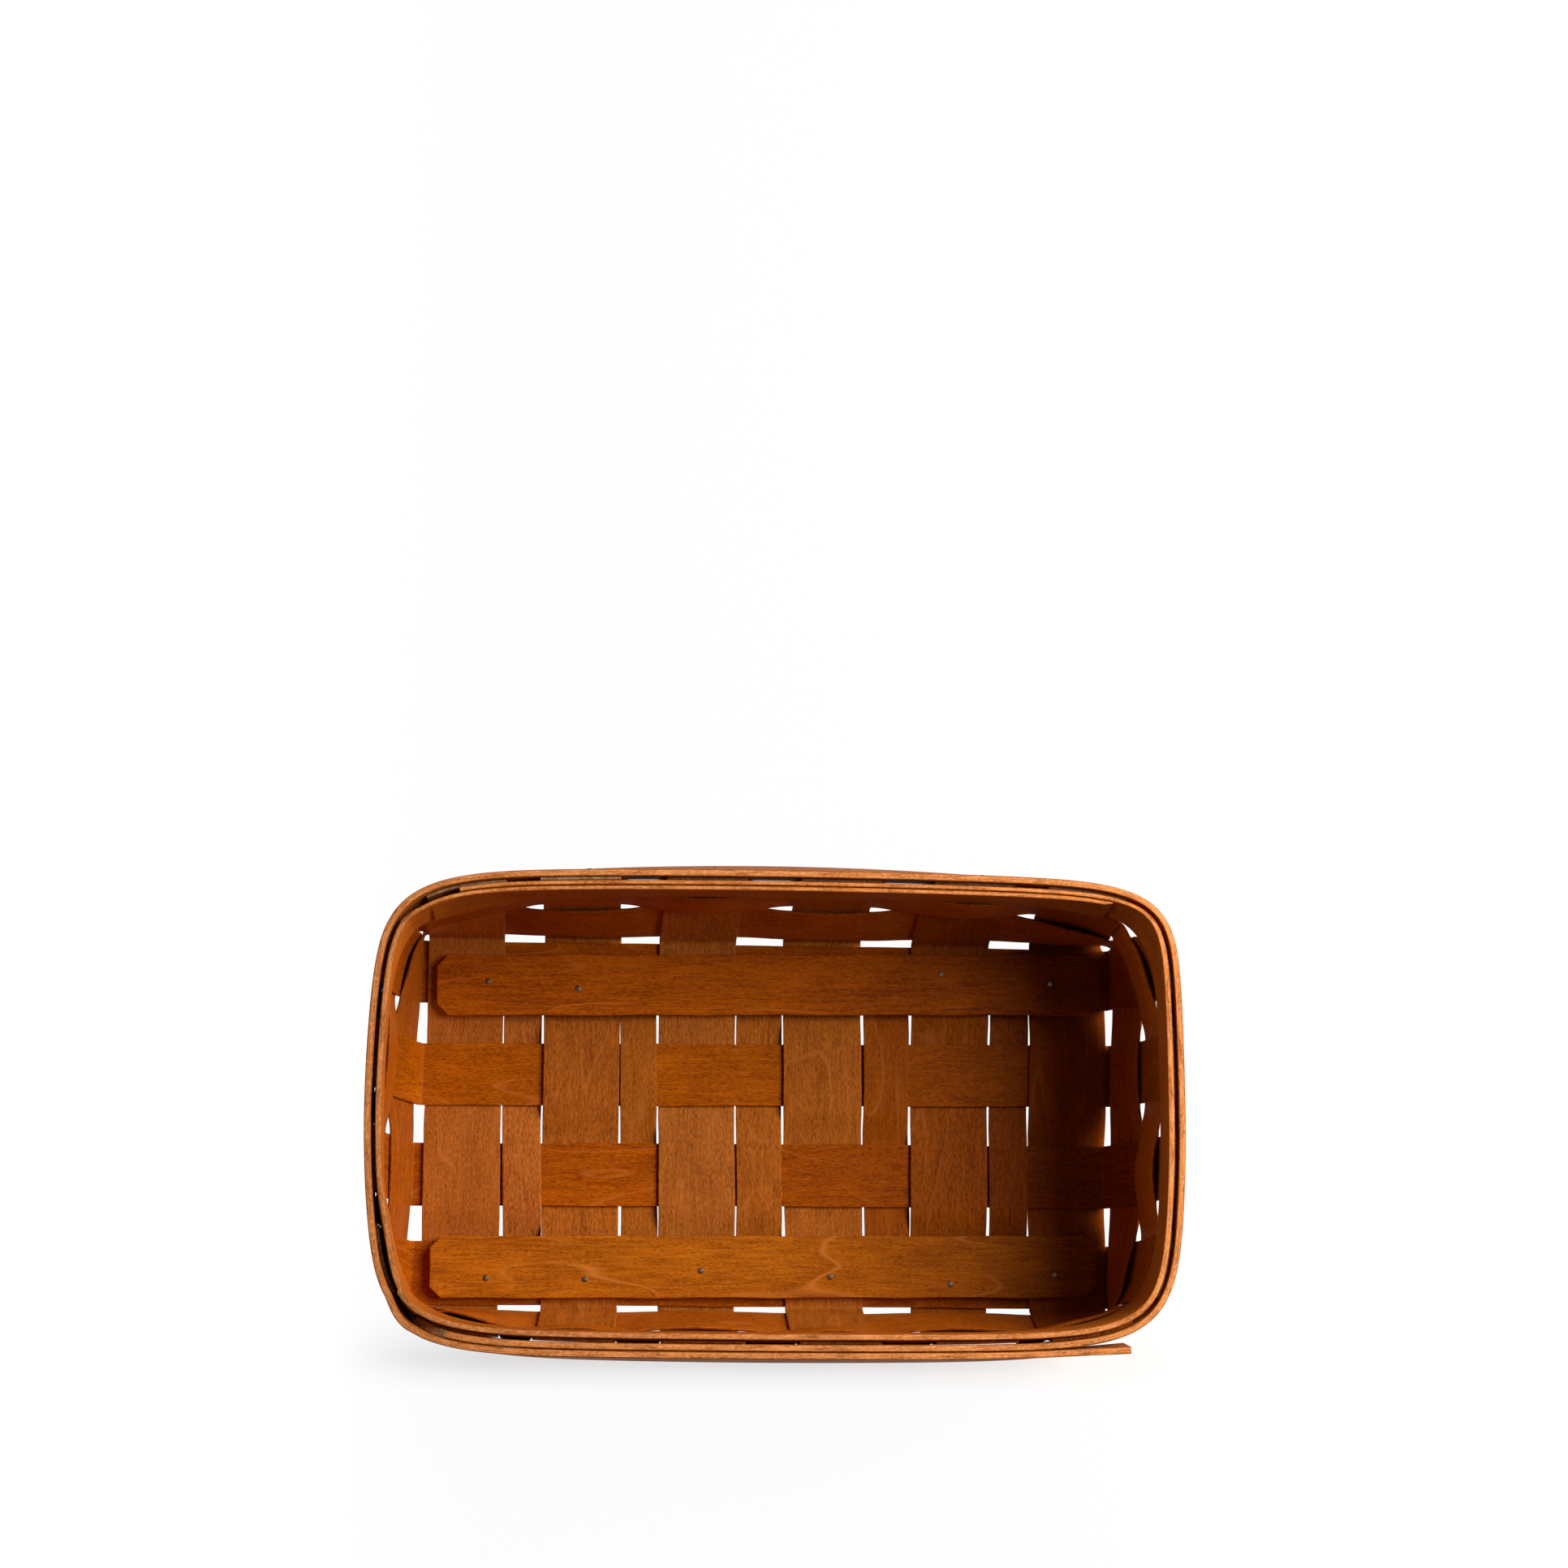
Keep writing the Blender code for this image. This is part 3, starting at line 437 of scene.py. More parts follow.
# Node helpers for materials
class Nodes:
    """Short names for adding and joining the shader nodes of a material or a world."""

    def __init__(self, owner):
        self.owner = owner
        owner.use_nodes = True
        self.tree = owner.node_tree
        self.tree.nodes.clear()

    def add(self, kind, **values):
        node = self.tree.nodes.new(kind)
        for key, value in values.items():
            setattr(node, key, value)
        return node

    def link(self, source, target):
        self.tree.links.new(source, target)

    def feed(self, socket, value):
        """Links a socket to another, or sets it to a number or colour."""
        if hasattr(value, "links"):
            self.link(value, socket)
        else:
            socket.default_value = (*value, 1) if hasattr(value, "__len__") else value

    def fill(self, node, values):
        """Feeds a node's first sockets."""
        for socket, value in zip(node.inputs, values):
            self.feed(socket, value)

    def math(self, operation, *values):
        node = self.add("ShaderNodeMath", operation=operation)
        self.fill(node, values)
        return node.outputs[0]

    def times(self, first, second):
        return self.math("MULTIPLY", first, second)

    def vector(self, *values):
        node = self.add("ShaderNodeCombineXYZ")
        self.fill(node, values)
        return node.outputs[0]

    def strand(self):
        """Metres along and across a strand."""
        uv = self.add("ShaderNodeUVMap", uv_map="Strand")
        split = self.add("ShaderNodeSeparateXYZ")
        self.link(uv.outputs[0], split.inputs[0])
        return split.outputs[0], split.outputs[1]

    def noise(self, vector, scale, detail=2.0):
        node = self.add("ShaderNodeTexNoise")
        node.inputs["Scale"].default_value = scale
        node.inputs["Detail"].default_value = detail
        node.inputs["Roughness"].default_value = 0.55
        self.link(vector, node.inputs["Vector"])
        return node.outputs[0]

    def field(self, u, v, u_rate, v_rate, place, detail=2.0):
        """Noise with its own cell length along and across."""
        spot = self.vector(self.times(u, u_rate), self.times(v, v_rate), place)
        return self.noise(spot, 1.0, detail)

    def swing(self, value, size):
        """A 0 to 1 value turned to one about zero, of the given size."""
        return self.times(self.math("SUBTRACT", value, 0.5), size)

    def total(self, *values):
        out = values[0]
        for value in values[1:]:
            out = self.math("ADD", out, value)
        return out

    def ramp(self, value, stops):
        node = self.add("ShaderNodeValToRGB")
        ramp = node.color_ramp
        while len(ramp.elements) < len(stops):
            ramp.elements.new(0.5)
        for element, (position, colour) in zip(ramp.elements, stops):
            element.position = position
            if not hasattr(colour, "__len__"):
                colour = (colour, colour, colour)
            element.color = (*colour, 1)
        self.link(value, node.inputs[0])
        return node.outputs[0]

    def mix(self, share, first, second, blend="MIX"):
        node = self.add("ShaderNodeMix", data_type="RGBA", blend_type=blend)
        for index, value in zip((0, 6, 7), (share, first, second)):
            self.feed(node.inputs[index], value)
        return node.outputs[2]

    def shader(self, colour, roughness, specular, height, strength, distance):
        """Ends the material with a Principled shader and a bump."""
        shader = self.add("ShaderNodeBsdfPrincipled")
        self.link(colour, shader.inputs["Base Color"])
        self.feed(shader.inputs["Roughness"], roughness)
        shader.inputs["Specular IOR Level"].default_value = specular
        bump = self.add("ShaderNodeBump")
        bump.inputs["Strength"].default_value = strength
        bump.inputs["Distance"].default_value = distance
        self.link(height, bump.inputs["Height"])
        self.link(bump.outputs[0], shader.inputs["Normal"])
        out = self.add("ShaderNodeOutputMaterial")
        self.link(shader.outputs[0], out.inputs[0])
        return shader


def linear(*rgb):
    """A screen colour's linear values."""
    out = []
    for value in rgb:
        value /= 255
        out.append(value / 12.92 if value <= 0.04045 else ((value + 0.055) / 1.055) ** 2.4)
    return tuple(out)


def scaled(colour, *shares):
    return tuple(min(c * s, 1) for c, s in zip(colour, shares))


def paler(colour, share, *more):
    return tuple(min(c * share + add, 1) for c, add in zip(colour, more))


def wood(name, colour, seed, fleck=1.0, streak=1.0, ring=0.6, rub=0.4, ring_rate=(9, 38),
         stain=None):
    """Stained veneer: short flecks and longer streaks along the strand, soft patches, thin pale
    growth lines and rare rubbed marks.

    The colour is the mean, and the last argument gives shares of painted shade along the strand.
    """
    n = Nodes(bpy.data.materials.new(name))
    u, v = n.strand()
    at = seed * 3.7
    drift = n.swing(n.field(u, v, 16, 34, at), 0.005)
    bent = n.math("ADD", v, drift)
    flecks = n.field(u, bent, 560, 2900, at + 3)
    streaks = n.field(u, bent, 72, 980, at + 5, 3)
    patch = n.field(u, bent, 24, 70, at + 9)
    rings = n.times(n.field(u, v, ring_rate[0], ring_rate[1], at + 21, 1), 7)
    saw = n.math("FRACT", rings)

    tone = n.total(n.swing(flecks, 2.0 * fleck), n.swing(streaks, 0.9 * streak),
                   n.swing(patch, 0.5 * streak), n.swing(saw, 0.12 * ring), 0.5)
    low = scaled(colour, 0.60, 0.50, 0.40)
    high = scaled(colour, 1.42, 1.5, 1.7)
    body = n.ramp(tone, [(0.08, low), (0.5, colour), (0.92, high)])
    pores = n.ramp(flecks, [(0.30, 1.0), (0.37, 0.0)])
    body = n.mix(n.times(pores, 0.4 * fleck), body, scaled(colour, 0.35, 0.25, 0.2))

    pale = paler(colour, 1.3, 0.07, 0.045, 0.02)
    line = n.ramp(n.math("PINGPONG", rings, 0.5), [(0.0, 1.0), (0.06, 0.0)])
    where = n.ramp(n.field(u, v, 18, 46, at + 25, 1), [(0.40, 0.0), (0.56, 1.0)])
    body = n.mix(n.times(n.times(line, where), 0.7 * ring), body, pale)
    marks = n.ramp(n.field(u, v, 85, 650, at + 31), [(0.63, 0.0), (0.70, 1.0)])
    zone = n.ramp(n.field(u, v, 24, 44, at + 37, 1), [(0.52, 0.0), (0.66, 1.0)])
    body = n.mix(n.times(n.times(marks, zone), 0.5 * rub), body, pale)

    # Painted shade: a darker tone along the strand where the walls shade it
    if stain:
        body = n.mix(n.ramp(u, stain), body, (0.5, 0.42, 0.34), "MULTIPLY")
    rough = n.total(n.swing(streaks, 0.25), 0.56)
    height = n.total(flecks, n.times(streaks, 0.7))
    n.shader(body, rough, 0.045, height, 0.35, 0.00014)
    return n.owner


def sawn(name, colour, seed, speck=0.6, contrast=1.0):
    """Sawn or worn wood: light specks, dark open pores and fibres along the edge."""
    n = Nodes(bpy.data.materials.new(name))
    u, v = n.strand()
    at = seed * 2.9
    grains = n.field(u, v, 620, 1500, at)
    fibres = n.field(u, v, 130, 1900, at + 3)
    patch = n.field(u, v, 60, 260, at + 7)
    tone = n.total(n.swing(grains, 1.1 * contrast), n.swing(fibres, 1.0 * contrast),
                   n.swing(patch, 1.2 * contrast), 0.5)
    body = n.ramp(tone, [(0.08, scaled(colour, 0.5, 0.42, 0.35)), (0.5, colour),
                         (0.92, scaled(colour, 1.35, 1.5, 1.8))])
    pores = n.ramp(fibres, [(0.30, 1.0), (0.38, 0.0)])
    body = n.mix(n.times(pores, speck), body, scaled(colour, 0.25, 0.18, 0.15))
    specks = n.ramp(grains, [(0.61, 0.0), (0.67, 1.0)])
    body = n.mix(n.times(specks, speck), body, paler(colour, 1.25, 0.14, 0.12, 0.09))
    n.shader(body, 0.75, 0.06, n.total(grains, fibres), 0.5, 0.0002)
    return n.owner


# Strand materials
splint_edge = sawn("splint_edge", linear(122, 56, 12), 3, 0.3)
splint_end = sawn("splint_end", linear(96, 62, 38), 5, 0.5)
pale_end = sawn("pale_end", linear(146, 108, 76), 7, 0.6)
outer_edge = sawn("outer_edge", linear(216, 132, 70), 9, 0.45)
inner_edge = sawn("inner_edge", linear(212, 129, 68), 13, 0.45)
band_end = sawn("band_end", linear(226, 168, 112), 11, 0.5)


def strand_materials(name, colour, seed, **options):
    face = wood(name, colour, seed, **options)
    return [face, face, splint_edge, splint_end]


# Cross splints and fillers
# How far right the two edges of each cross splint and filler lie, in mm, at three places in y
EDGE_PLACES = (-0.039, -0.002, 0.041)
EDGE_SHIFTS = [
    ((0.6, 0.5, 0.8), (0.8, 0.4, 0.9)),
    ((0.95, 0.1, -0.15), (1.65, 0.55, 0.5)),
    ((0.6, 0.2, 0), (0.45, 0.15, 0.35)),
    ((0.55, -0.3, -0.75), (0.45, -0.45, -1.1)),
    ((-0.4, -0.85, -1.4), (-0.4, -1.0, -0.65)),
    ((-0.95, -1.3, -1.5), (-0.45, -1.1, -0.8)),
    ((-0.45, -1.1, -1.7), (0.25, -0.35, -0.4)),
    ((0.1, -0.7, -0.5), (0.35, -0.5, 0.1)),
    ((-0.5, -0.5, -0.15), (-0.4, 0, 1.05)),
    ((-0.25, -0.5, 0.75), (0.15, 0.35, 1.65)),
    ((-0.45, -0.3, 0.9), (0, 0.95, 1.3)),
]


def edge_shift(index, share, y):
    """How far right a cross strip's points lie, for a share of the way across it."""
    low, high = (np.interp(y, EDGE_PLACES, values) for values in EDGE_SHIFTS[index])
    return 0.001 * (low + (high - low) * share)


def fold_line(station, base_z, outward, give):
    """Middle points and outward normals of the fold, for one column."""
    s = np.array([station])
    foot = outline(s, LEVELS[FOOT])[0] + wall_normal(s, np.array([0.0]), FOOT)[0] * give
    above = outline(s, LEVELS[LOW_TOP])[0]
    foot_reach = foot @ outward
    lean = (above @ outward - foot_reach) / (above[2] - foot[2])
    turn = math.pi / 2 - math.atan(lean)
    corner_reach = foot_reach - (foot[2] - base_z) * lean
    start = corner_reach - FOLD_R * math.tan(turn / 2)
    sideways = foot - outward * foot_reach
    points, normals = [], []
    for step in range(13):
        angle = turn * step / 12
        p = outward * (start + FOLD_R * math.sin(angle)) + sideways
        p[2] = base_z + FOLD_R * (1 - math.cos(angle))
        points.append(p)
        normals.append(outward * math.sin(angle) - np.array([0, 0, math.cos(angle)]))
    return points, normals


WALL_ROWS = np.unique(np.concatenate([
    np.linspace(0, 1, 13), np.linspace(1, 2, 3), np.linspace(2, 3, 13), np.linspace(3, 4, 4),
    np.linspace(4, 5 - 0.0020 / BAND_H, 9)]))


def wall_line(station, give, lift, shift):
    """The column's part above the fold. The lift is at its top and the shift at its foot."""
    heights = WALL_ROWS.copy()
    heights[-1] += lift / BAND_H
    stations = station + shift * np.clip(1 - heights, 0, 1)
    points = wall(stations, heights)
    normals = np.zeros_like(points)
    for k in range(5):
        here = (heights >= k) & (heights <= k + 1)
        normals[here] += wall_normal(stations[here], heights[here], k)
    normals = unit(normals)
    points += normals * (give * np.clip(1 - heights, 0, 1))[:, None]
    return list(points), list(normals)


def give(group):
    """How far out an upright's foot stands, as it gives way to the lower weaver."""
    return FOOT_GIVE if group % 2 == 0 else -FOOT_GIVE


def side_line(station, base_z, outward, group, lift=0.0, shift=0.0):
    """Middle points and outward normals from the fold up the wall, for one column."""
    fold = fold_line(station + shift, base_z, np.array(outward), give(group))
    rise = wall_line(station, give(group), lift, shift)
    return fold[0] + rise[0], fold[1] + rise[1]


def base_rows(cross, low_limit, high_limit, step=0.0016):
    """(y, z) places along the base between two limits, over and under the long splints."""
    edges = LONG[::-1]
    levels = [crossing_z(cross, long) for long in (3, 2, 1, 0)]
    places = {place for pair in edges for place in pair if low_limit < place < high_limit}
    count = int((high_limit - low_limit) / step)
    ys = np.array(sorted(places.union(np.linspace(low_limit, high_limit, count))))
    zs = np.full_like(ys, levels[0])
    for index in range(3):
        end, start = edges[index][1], edges[index + 1][0]
        zs += (levels[index + 1] - levels[index]) * ease((ys - end) / (start - end))
    return ys, zs


EDGE_R = 0.00028


def splint(node, slot, columns, strip, d, seed, waves, materials, **options):
    """Makes a splint from its edges and the middle points and normals of its columns.

    The waves vary its width along it, and the relief makes its faces faintly uneven.
    """
    name = "splint_" + node.split("_", 1)[1]
    low, high = strip
    points, normals = (np.array(part).transpose(1, 0, 2) for part in zip(*columns))
    u = along_length(points)[:, None]
    side = unit(np.gradient(points, axis=1))
    edge = sum(wobble(*wave)(u) for wave in waves) * (1 - 2 * d / (high - low))
    points = points + side * edge[..., None]
    relief = wobble(seed + 0.1, 0.05, 0.00005)(along_length(points))
    points = points + normals * relief[:, None, None]
    half = roundness(d, high - low, EDGE_R, T / 2)
    data = solid(name, points, normals, half, u, (low + d)[None], **options)
    place(name, data, [node], materials, slot)


def base_column(index, x, ys, zs):
    """Middle points and outward normals of one column along the base, for a cross strip."""
    low, high = CROSS[index]
    xs = x + edge_shift(index, (x - low) / (high - low), ys)
    normals = [unit(np.array([0, slope, -1.0])) for slope in np.gradient(zs, ys)]
    return [np.array(spot) for spot in zip(xs, ys, zs)], normals


def cross_splint(index, colour, number, lift, end):
    low, high = CROSS[index]
    d = across_steps(high - low, 13, EDGE_R)
    ys, zs = base_rows(index, -YH + 0.001, YH - 0.001)
    columns = []
    for x in low + d:
        points, normals = base_column(index, x, ys, zs)
        front, back = ((points[k][0] - x) / (2 * XH) for k in (0, -1))
        front_p, front_n = side_line(
            front_s(x), crossing_z(index, 3), (0, -1.0, 0), index // 2, shift=front)
        back_p, back_n = side_line(
            back_s(x), crossing_z(index, 0), (0, 1.0, 0), 15 - index // 2, lift, -back)
        columns.append((front_p[::-1] + points + back_p, front_n[::-1] + normals + back_n))
    seed = 10 + index
    waves = ((seed, 0.11, 0.00018), (seed + 0.5, 0.02, 0.00004))
    name = f"upright_cross_{number}"
    materials = strand_materials(name + "_wood", colour, seed)
    materials[3] = end
    splint(name, "cross_splint", columns, CROSS[index], d, seed, waves, materials, flip=True,
           first_end=2)


def filler(index, colour, number):
    low, high = CROSS[index]
    d = across_steps(high - low, 8, EDGE_R)
    reach = YH - 0.0020
    rows = base_rows(index, -reach, reach)
    columns = [base_column(index, x, *rows) for x in low + d]
    seed = 30 + index
    name = f"base_filler_{number}"
    materials = strand_materials(name + "_wood", colour, seed)
    waves = [(seed, 0.09, 0.00016)]
    splint(name, "cross_splint", columns, CROSS[index], d, seed, waves, materials, flip=True)


# How far back each long splint lies, in mm, at its left end, middle and right end
LONG_SHIFTS = [(0, 0, 0), (-1.3, -0.2, 1.0), (-1.2, -0.3, 0), (0, 0, 0)]
# Painted shade along each long splint, as shares by metres along it: low on the left wall, and
# toward the right end, where the right wall shades the base
LONG_PAINTED_SHADE = [(0.055, 0.5), (0.085, 0.0), (0.16, 0.0), (0.236, 0.33), (0.333, 0.8), (0.36, 0.5)]


def long_splint(index, colour, number):
    low, high = LONG[index]
    d = across_steps(high - low, 12, EDGE_R)
    xs = np.linspace(-XH + 0.0005, XH - 0.0005, 120)
    shifts = 0.001 * np.interp(xs, (-XH, 0, XH), LONG_SHIFTS[index])
    downward = [np.array([0, 0, -1.0])] * len(xs)
    columns = []
    for y in low + d:
        left_p, left_n = side_line(
            left_s(y), Z_MID, (-1.0, 0, 0), 16 + index, shift=-shifts[0] / (2 * YH))
        right_p, right_n = side_line(
            right_s(y), Z_MID, (1.0, 0, 0), 9 - index, shift=shifts[-1] / (2 * YH))
        base = [np.array([x, y + shift, Z_MID]) for x, shift in zip(xs, shifts)]
        columns.append((left_p[::-1] + base + right_p, left_n[::-1] + downward + right_n))
    seed = 50 + index
    name = f"upright_long_{number}"
    materials = strand_materials(
        name + "_wood", colour, seed, streak=1.2, ring=0.8, stain=LONG_PAINTED_SHADE)
    waves = [(seed, 0.12, 0.00018)]
    splint(name, "long_splint", columns, LONG[index], d, seed, waves, materials)


# Weavers
# Painted shade along the weavers, as shares of a darker tone by metres along them from the front
# left corner
WEAVER_PAINTED_SHADE = [(0.0, 0.3), (0.04, 0.0), (0.62, 0.0), (0.70, 0.55), (0.82, 0.55)]


def upright_groups():
    """The stations at which each upright starts and ends, once round the wall."""
    groups = [(front_s(low), front_s(high)) for low, high in WIDE]
    groups += [(right_s(low), right_s(high)) for low, high in LONG[::-1]]
    groups += [(back_s(high), back_s(low)) for low, high in WIDE[::-1]]
    groups += [(left_s(high), left_s(low)) for low, high in LONG]
    return groups


def weaver_curve(first_side, bow_size, foot_give, low_bow):
    """Stations, and the offsets of a weaver's lower and upper edge there."""
    stations, low, high = [], [], []
    groups = upright_groups()

    def add(station, side, bow):
        stations.append(station)
        low.append(side * (WEAVE - 0.0002 - foot_give) + bow * low_bow)
        high.append(side * (WEAVE - 0.0002) + bow)

    for index, (start, end) in enumerate(groups):
        side = first_side if index % 2 == 0 else -first_side
        at_corner = start % 1 < 0.004 or end % 1 > 0.996
        on_left = index >= 16
        strength = bow_size * (1 if side < 0 and not on_left else 0.4)
        strength += 0.0012 if side < 0 and at_corner else 0
        for share in np.linspace(0, 1, 19):
            add(start + (end - start) * share, side, side * strength * math.sin(math.pi * share))
        following = groups[(index + 1) % len(groups)][0]
        gap_end = following if following > end else following + 8
        steps = 22 if int(gap_end - 0.004) % 2 == 1 else 12
        for step in range(1, steps):
            share = step / steps
            add(end + (gap_end - end) * share, side * (1 - 2 * float(ease(share))), 0)
    return np.array(stations), np.array(low), np.array(high)


def weaver_heights(segment, share):
    """Heights of a weaver's rows. Where it faces the other weaver it reaches past the bend."""
    past = 0.0007 / WEAVER_W
    reach = share * (1 + past) - (0 if segment == FOOT else past)
    beyond = np.maximum(reach - 1, 0) + np.minimum(reach, 0)
    return segment + reach + beyond * (WEAVER_W / WEAVER_GAP - 1)


def weaver(node, segment, curve, colour, seed):
    stations, low, high = weaver_curve(*curve)
    width = WEAVER_W
    d = across_steps(width, 10, EDGE_R)
    heights = weaver_heights(segment, d / width)
    s, h = np.meshgrid(stations, heights, indexing="ij")
    normal = wall_normal(s, h, segment)
    offsets = low[:, None] + (high - low)[:, None] * (d / width)[None]
    points = wall(s, h) + normal * offsets[..., None]
    normal = grid_normals(points, normal)
    u = along_length(points)[:, None]
    up = unit(outline(s, LEVELS[segment + 1]) - outline(s, LEVELS[segment]))
    share = u / u[-1]
    edge = 0.00022 * np.sin(6.2832 * (9 * share + seed * 0.37))
    edge += 0.00016 * np.sin(6.2832 * (23 * share + seed * 0.11))
    points = points + up * (edge * (1 - 2 * d / width))[..., None]
    half = roundness(d, width, EDGE_R, T / 2)
    name = node + "_piece"
    data = solid(name, points, normal, half, u, d[None], closed=True, flip=True)
    materials = strand_materials(name + "_wood", colour, seed, stain=WEAVER_PAINTED_SHADE)
    place(name, data, [node], materials, "weaver")


# Rim bands
def band_stations(start, end):
    """Dense stations from one place to another, closer at the corners."""
    low, high = min(start, end), max(start, end)
    out = [low]
    s = low
    while True:
        stretch = math.floor(s + 1e-6) % 8
        size = {0: 0.0035, 4: 0.0035, 2: 0.006, 6: 0.006}.get(stretch, 0.035)
        s += size
        if s >= high - size / 2:
            break
        out.append(s)
    out = np.array(out + [high])
    return out[::-1] if end < start else out


def outer_offset(s):
    """How far outside the uprights' middle the outer band's is. It steps out to lap itself."""
    inner_turn = T / 2 + TOUCH + BAND_T / 2
    outer_turn = inner_turn + BAND_T + TOUCH
    rise_start, rise_end = LEFT + 0.75, 8 + 0.025
    return inner_turn + (outer_turn - inner_turn) * ease((s - rise_start) / (rise_end - rise_start))


def inner_lay(s):
    """The inner band's offset and thickness, thinned where its two ends lap."""
    start, end = LEFT - 8 + 0.25, BACK - 8 + 0.975
    early = s > RIGHT
    share = np.where(early, ease((s - RIGHT - 0.5) / 1.4), ease((s - start) / (end - start)))
    full = T / 2 + TOUCH + INNER_T / 2
    thin = T / 2 + TOUCH + SKIVED_T / 2 + np.where(early, 0, SKIVED_T + TOUCH)
    return -(full + (thin - full) * share), INNER_T + (SKIVED_T - INNER_T) * share


BAND_R = 0.00035
FOOT_SWELL = 0.00029


def band_grid(s, offset, thick, flare, inward, outward, slant=0):
    """Grids of a band's middle points, normals and half thicknesses, and places across it.

    The foot is thicker than the top by the inward and outward lengths.
    """
    foot_share = 0.03
    width = BAND_H * (1 - foot_share)
    d = across_steps(width, 8, BAND_R)
    heights = RIM_FOOT + foot_share + (1 - foot_share) * d / width
    stations, h = np.meshgrid(s, heights, indexing="ij")
    stations -= slant * np.clip(1 - (stations - s[0]) / 0.03, 0, 1) * (1 - d / width)[None]
    normal = wall_normal(stations, h, RIM_FOOT)
    low_share = (1 - d / width)[None]
    reach = offset[:, None] + (flare + (outward - inward) / 2)[:, None] * low_share
    points = wall(stations, h) + normal * reach[..., None]
    half = np.stack([roundness(d, width, BAND_R, t / 2) for t in thick])
    half += (inward + outward)[:, None] / 2 * low_share
    return points, normal, half, d


def on_wall(s, index):
    return np.floor(s).astype(int) % 8 == index


def outer_flare(s):
    """How much further out the outer band's foot stands than its top."""
    size = np.zeros_like(s)
    for wall_index, amount in FLARE.items():
        size = np.where(on_wall(s, wall_index), amount * np.sin(math.pi * (s % 1)), size)
    return size


def lobe(s, middle, reach, size):
    """A smooth push around a station, for a reach in stations."""
    away = (s % 8 - middle) / reach
    return size * np.cos(math.pi / 2 * np.clip(away, -1, 1)) ** 2


def back_lobe(s, x, reach, size):
    return lobe(s, back_s(x), reach / (2 * XH), size)


def inner_lean_in(s):
    """Where the inner band keeps clear of the outer one on the front half of the left side."""
    return lobe(s, left_s(-0.058), 0.034 / (2 * YH), -0.0016)


def inner_pull(s):
    """Where the uprights press the inner band's foot into the basket at the back."""
    front = np.where(on_wall(s, FRONT), 0.0011 * np.sin(math.pi * (s % 1)) ** 0.5, 0)
    left = back_lobe(s, -0.127, 0.026, 0.0018) + back_lobe(s, -0.095, 0.055, 0.0016)
    return -left - back_lobe(s, 0.018, 0.024, 0.0012) - front


def groove_fill(s):
    """How much thicker the inner band's foot is, outward. It closes the groove between uprights."""
    out = np.full_like(s, FOOT_SWELL)
    groups = upright_groups()
    spot = s % 8
    climb = np.where((spot > LEFT) | (spot < BAND_START), spot + 8 * (spot < LEFT), LEFT)
    rise = outer_offset(climb) - outer_offset(np.array([LEFT]))[0]
    for (_, low), (high, _) in zip(groups, groups[1:] + groups[:1]):
        high = high if high > low else high + 8
        stretch = math.floor(low + 0.01) % 8
        metres = {0: 2 * XH, 4: 2 * XH, 2: 2 * YH, 6: 2 * YH}.get(stretch, 0.045)
        depth = np.minimum(spot - low, high - spot) * metres / 0.0015
        flare = outer_flare(s) if stretch == FRONT else 0
        out += ease(depth) * (T + TOUCH + flare + rise - 0.0002)
    return out


def slit_share(s):
    """1 in the gaps between the uprights at the back, where the outer band stands off."""
    out = np.zeros_like(s)
    groups = upright_groups()[11:15]
    for (_, low), (high, _) in zip(groups, groups[1:]):
        out += ease(np.minimum(s % 8 - low, high - s % 8) * 2 * XH / 0.003)
    return out


def rim_band(side, points, normal, half, d, colour, seed, edge, flip=False):
    name = "rim_band_" + side
    data = solid(name, points, normal, half, along_length(points)[:, None], d[None], flip=flip)
    face = wood(f"rim_{side}_wood", colour, seed, fleck=0.9, streak=1.2, ring=0.3)
    place(name, data, ["rim_" + side], [face, face, edge, band_end], "rim_band")


def outer_band():
    s = band_stations(BAND_START, FREE_END)
    offset = outer_offset(s)
    thick = np.full_like(s, BAND_T)
    inward = FOOT_SWELL + np.where(on_wall(s, BACK), outer_flare(s) - 0.0016 * slit_share(s), 0)
    points, normal, half, d = band_grid(s, offset, thick, outer_flare(s), inward, 0 * s, 0.09)
    # The free end goes on level and straight
    ahead = unit((points[-1] - points[-2]) * (1, 1, 0))
    steps = np.linspace(FREE_TAIL / 12, FREE_TAIL, 12)[:, None, None]
    points = np.concatenate([points, points[-1] + ahead * steps])
    normal, half = (np.concatenate([rows, [rows[-1]] * 12]) for rows in (normal, half))
    rim_band("outer", points, normal, half, d, linear(156, 84, 28), 91, outer_edge, flip=True)


def inner_band():
    end = BACK - 8 + 0.03
    s = band_stations(BACK + 0.955, end)
    offset, thick = inner_lay(s)
    s = np.append(s, end - 0.012)
    offset = np.append(offset, offset[-1] + (thick[-1] - TIP_T) / 2)
    thick = np.append(thick, TIP_T)
    lean, pull = inner_lean_in(s), inner_pull(s)
    fill = groove_fill(s) - pull - lean
    grid = band_grid(s, offset + lean, thick, pull, 0 * s, fill)
    rim_band("inner", *grid, linear(160, 82, 22), 93, inner_edge)


# Boards and nails
# Painted shadow of the right wall on each board: shares of a darker tone by metres along it, toward
# its right end
BOARD_PAINTED_SHADE = {
    "back": [(0.05, 0.0), (0.14, 0.2), (0.24, 0.7)],
    "front": [(0.14, 0.0), (0.24, 0.65)],
}


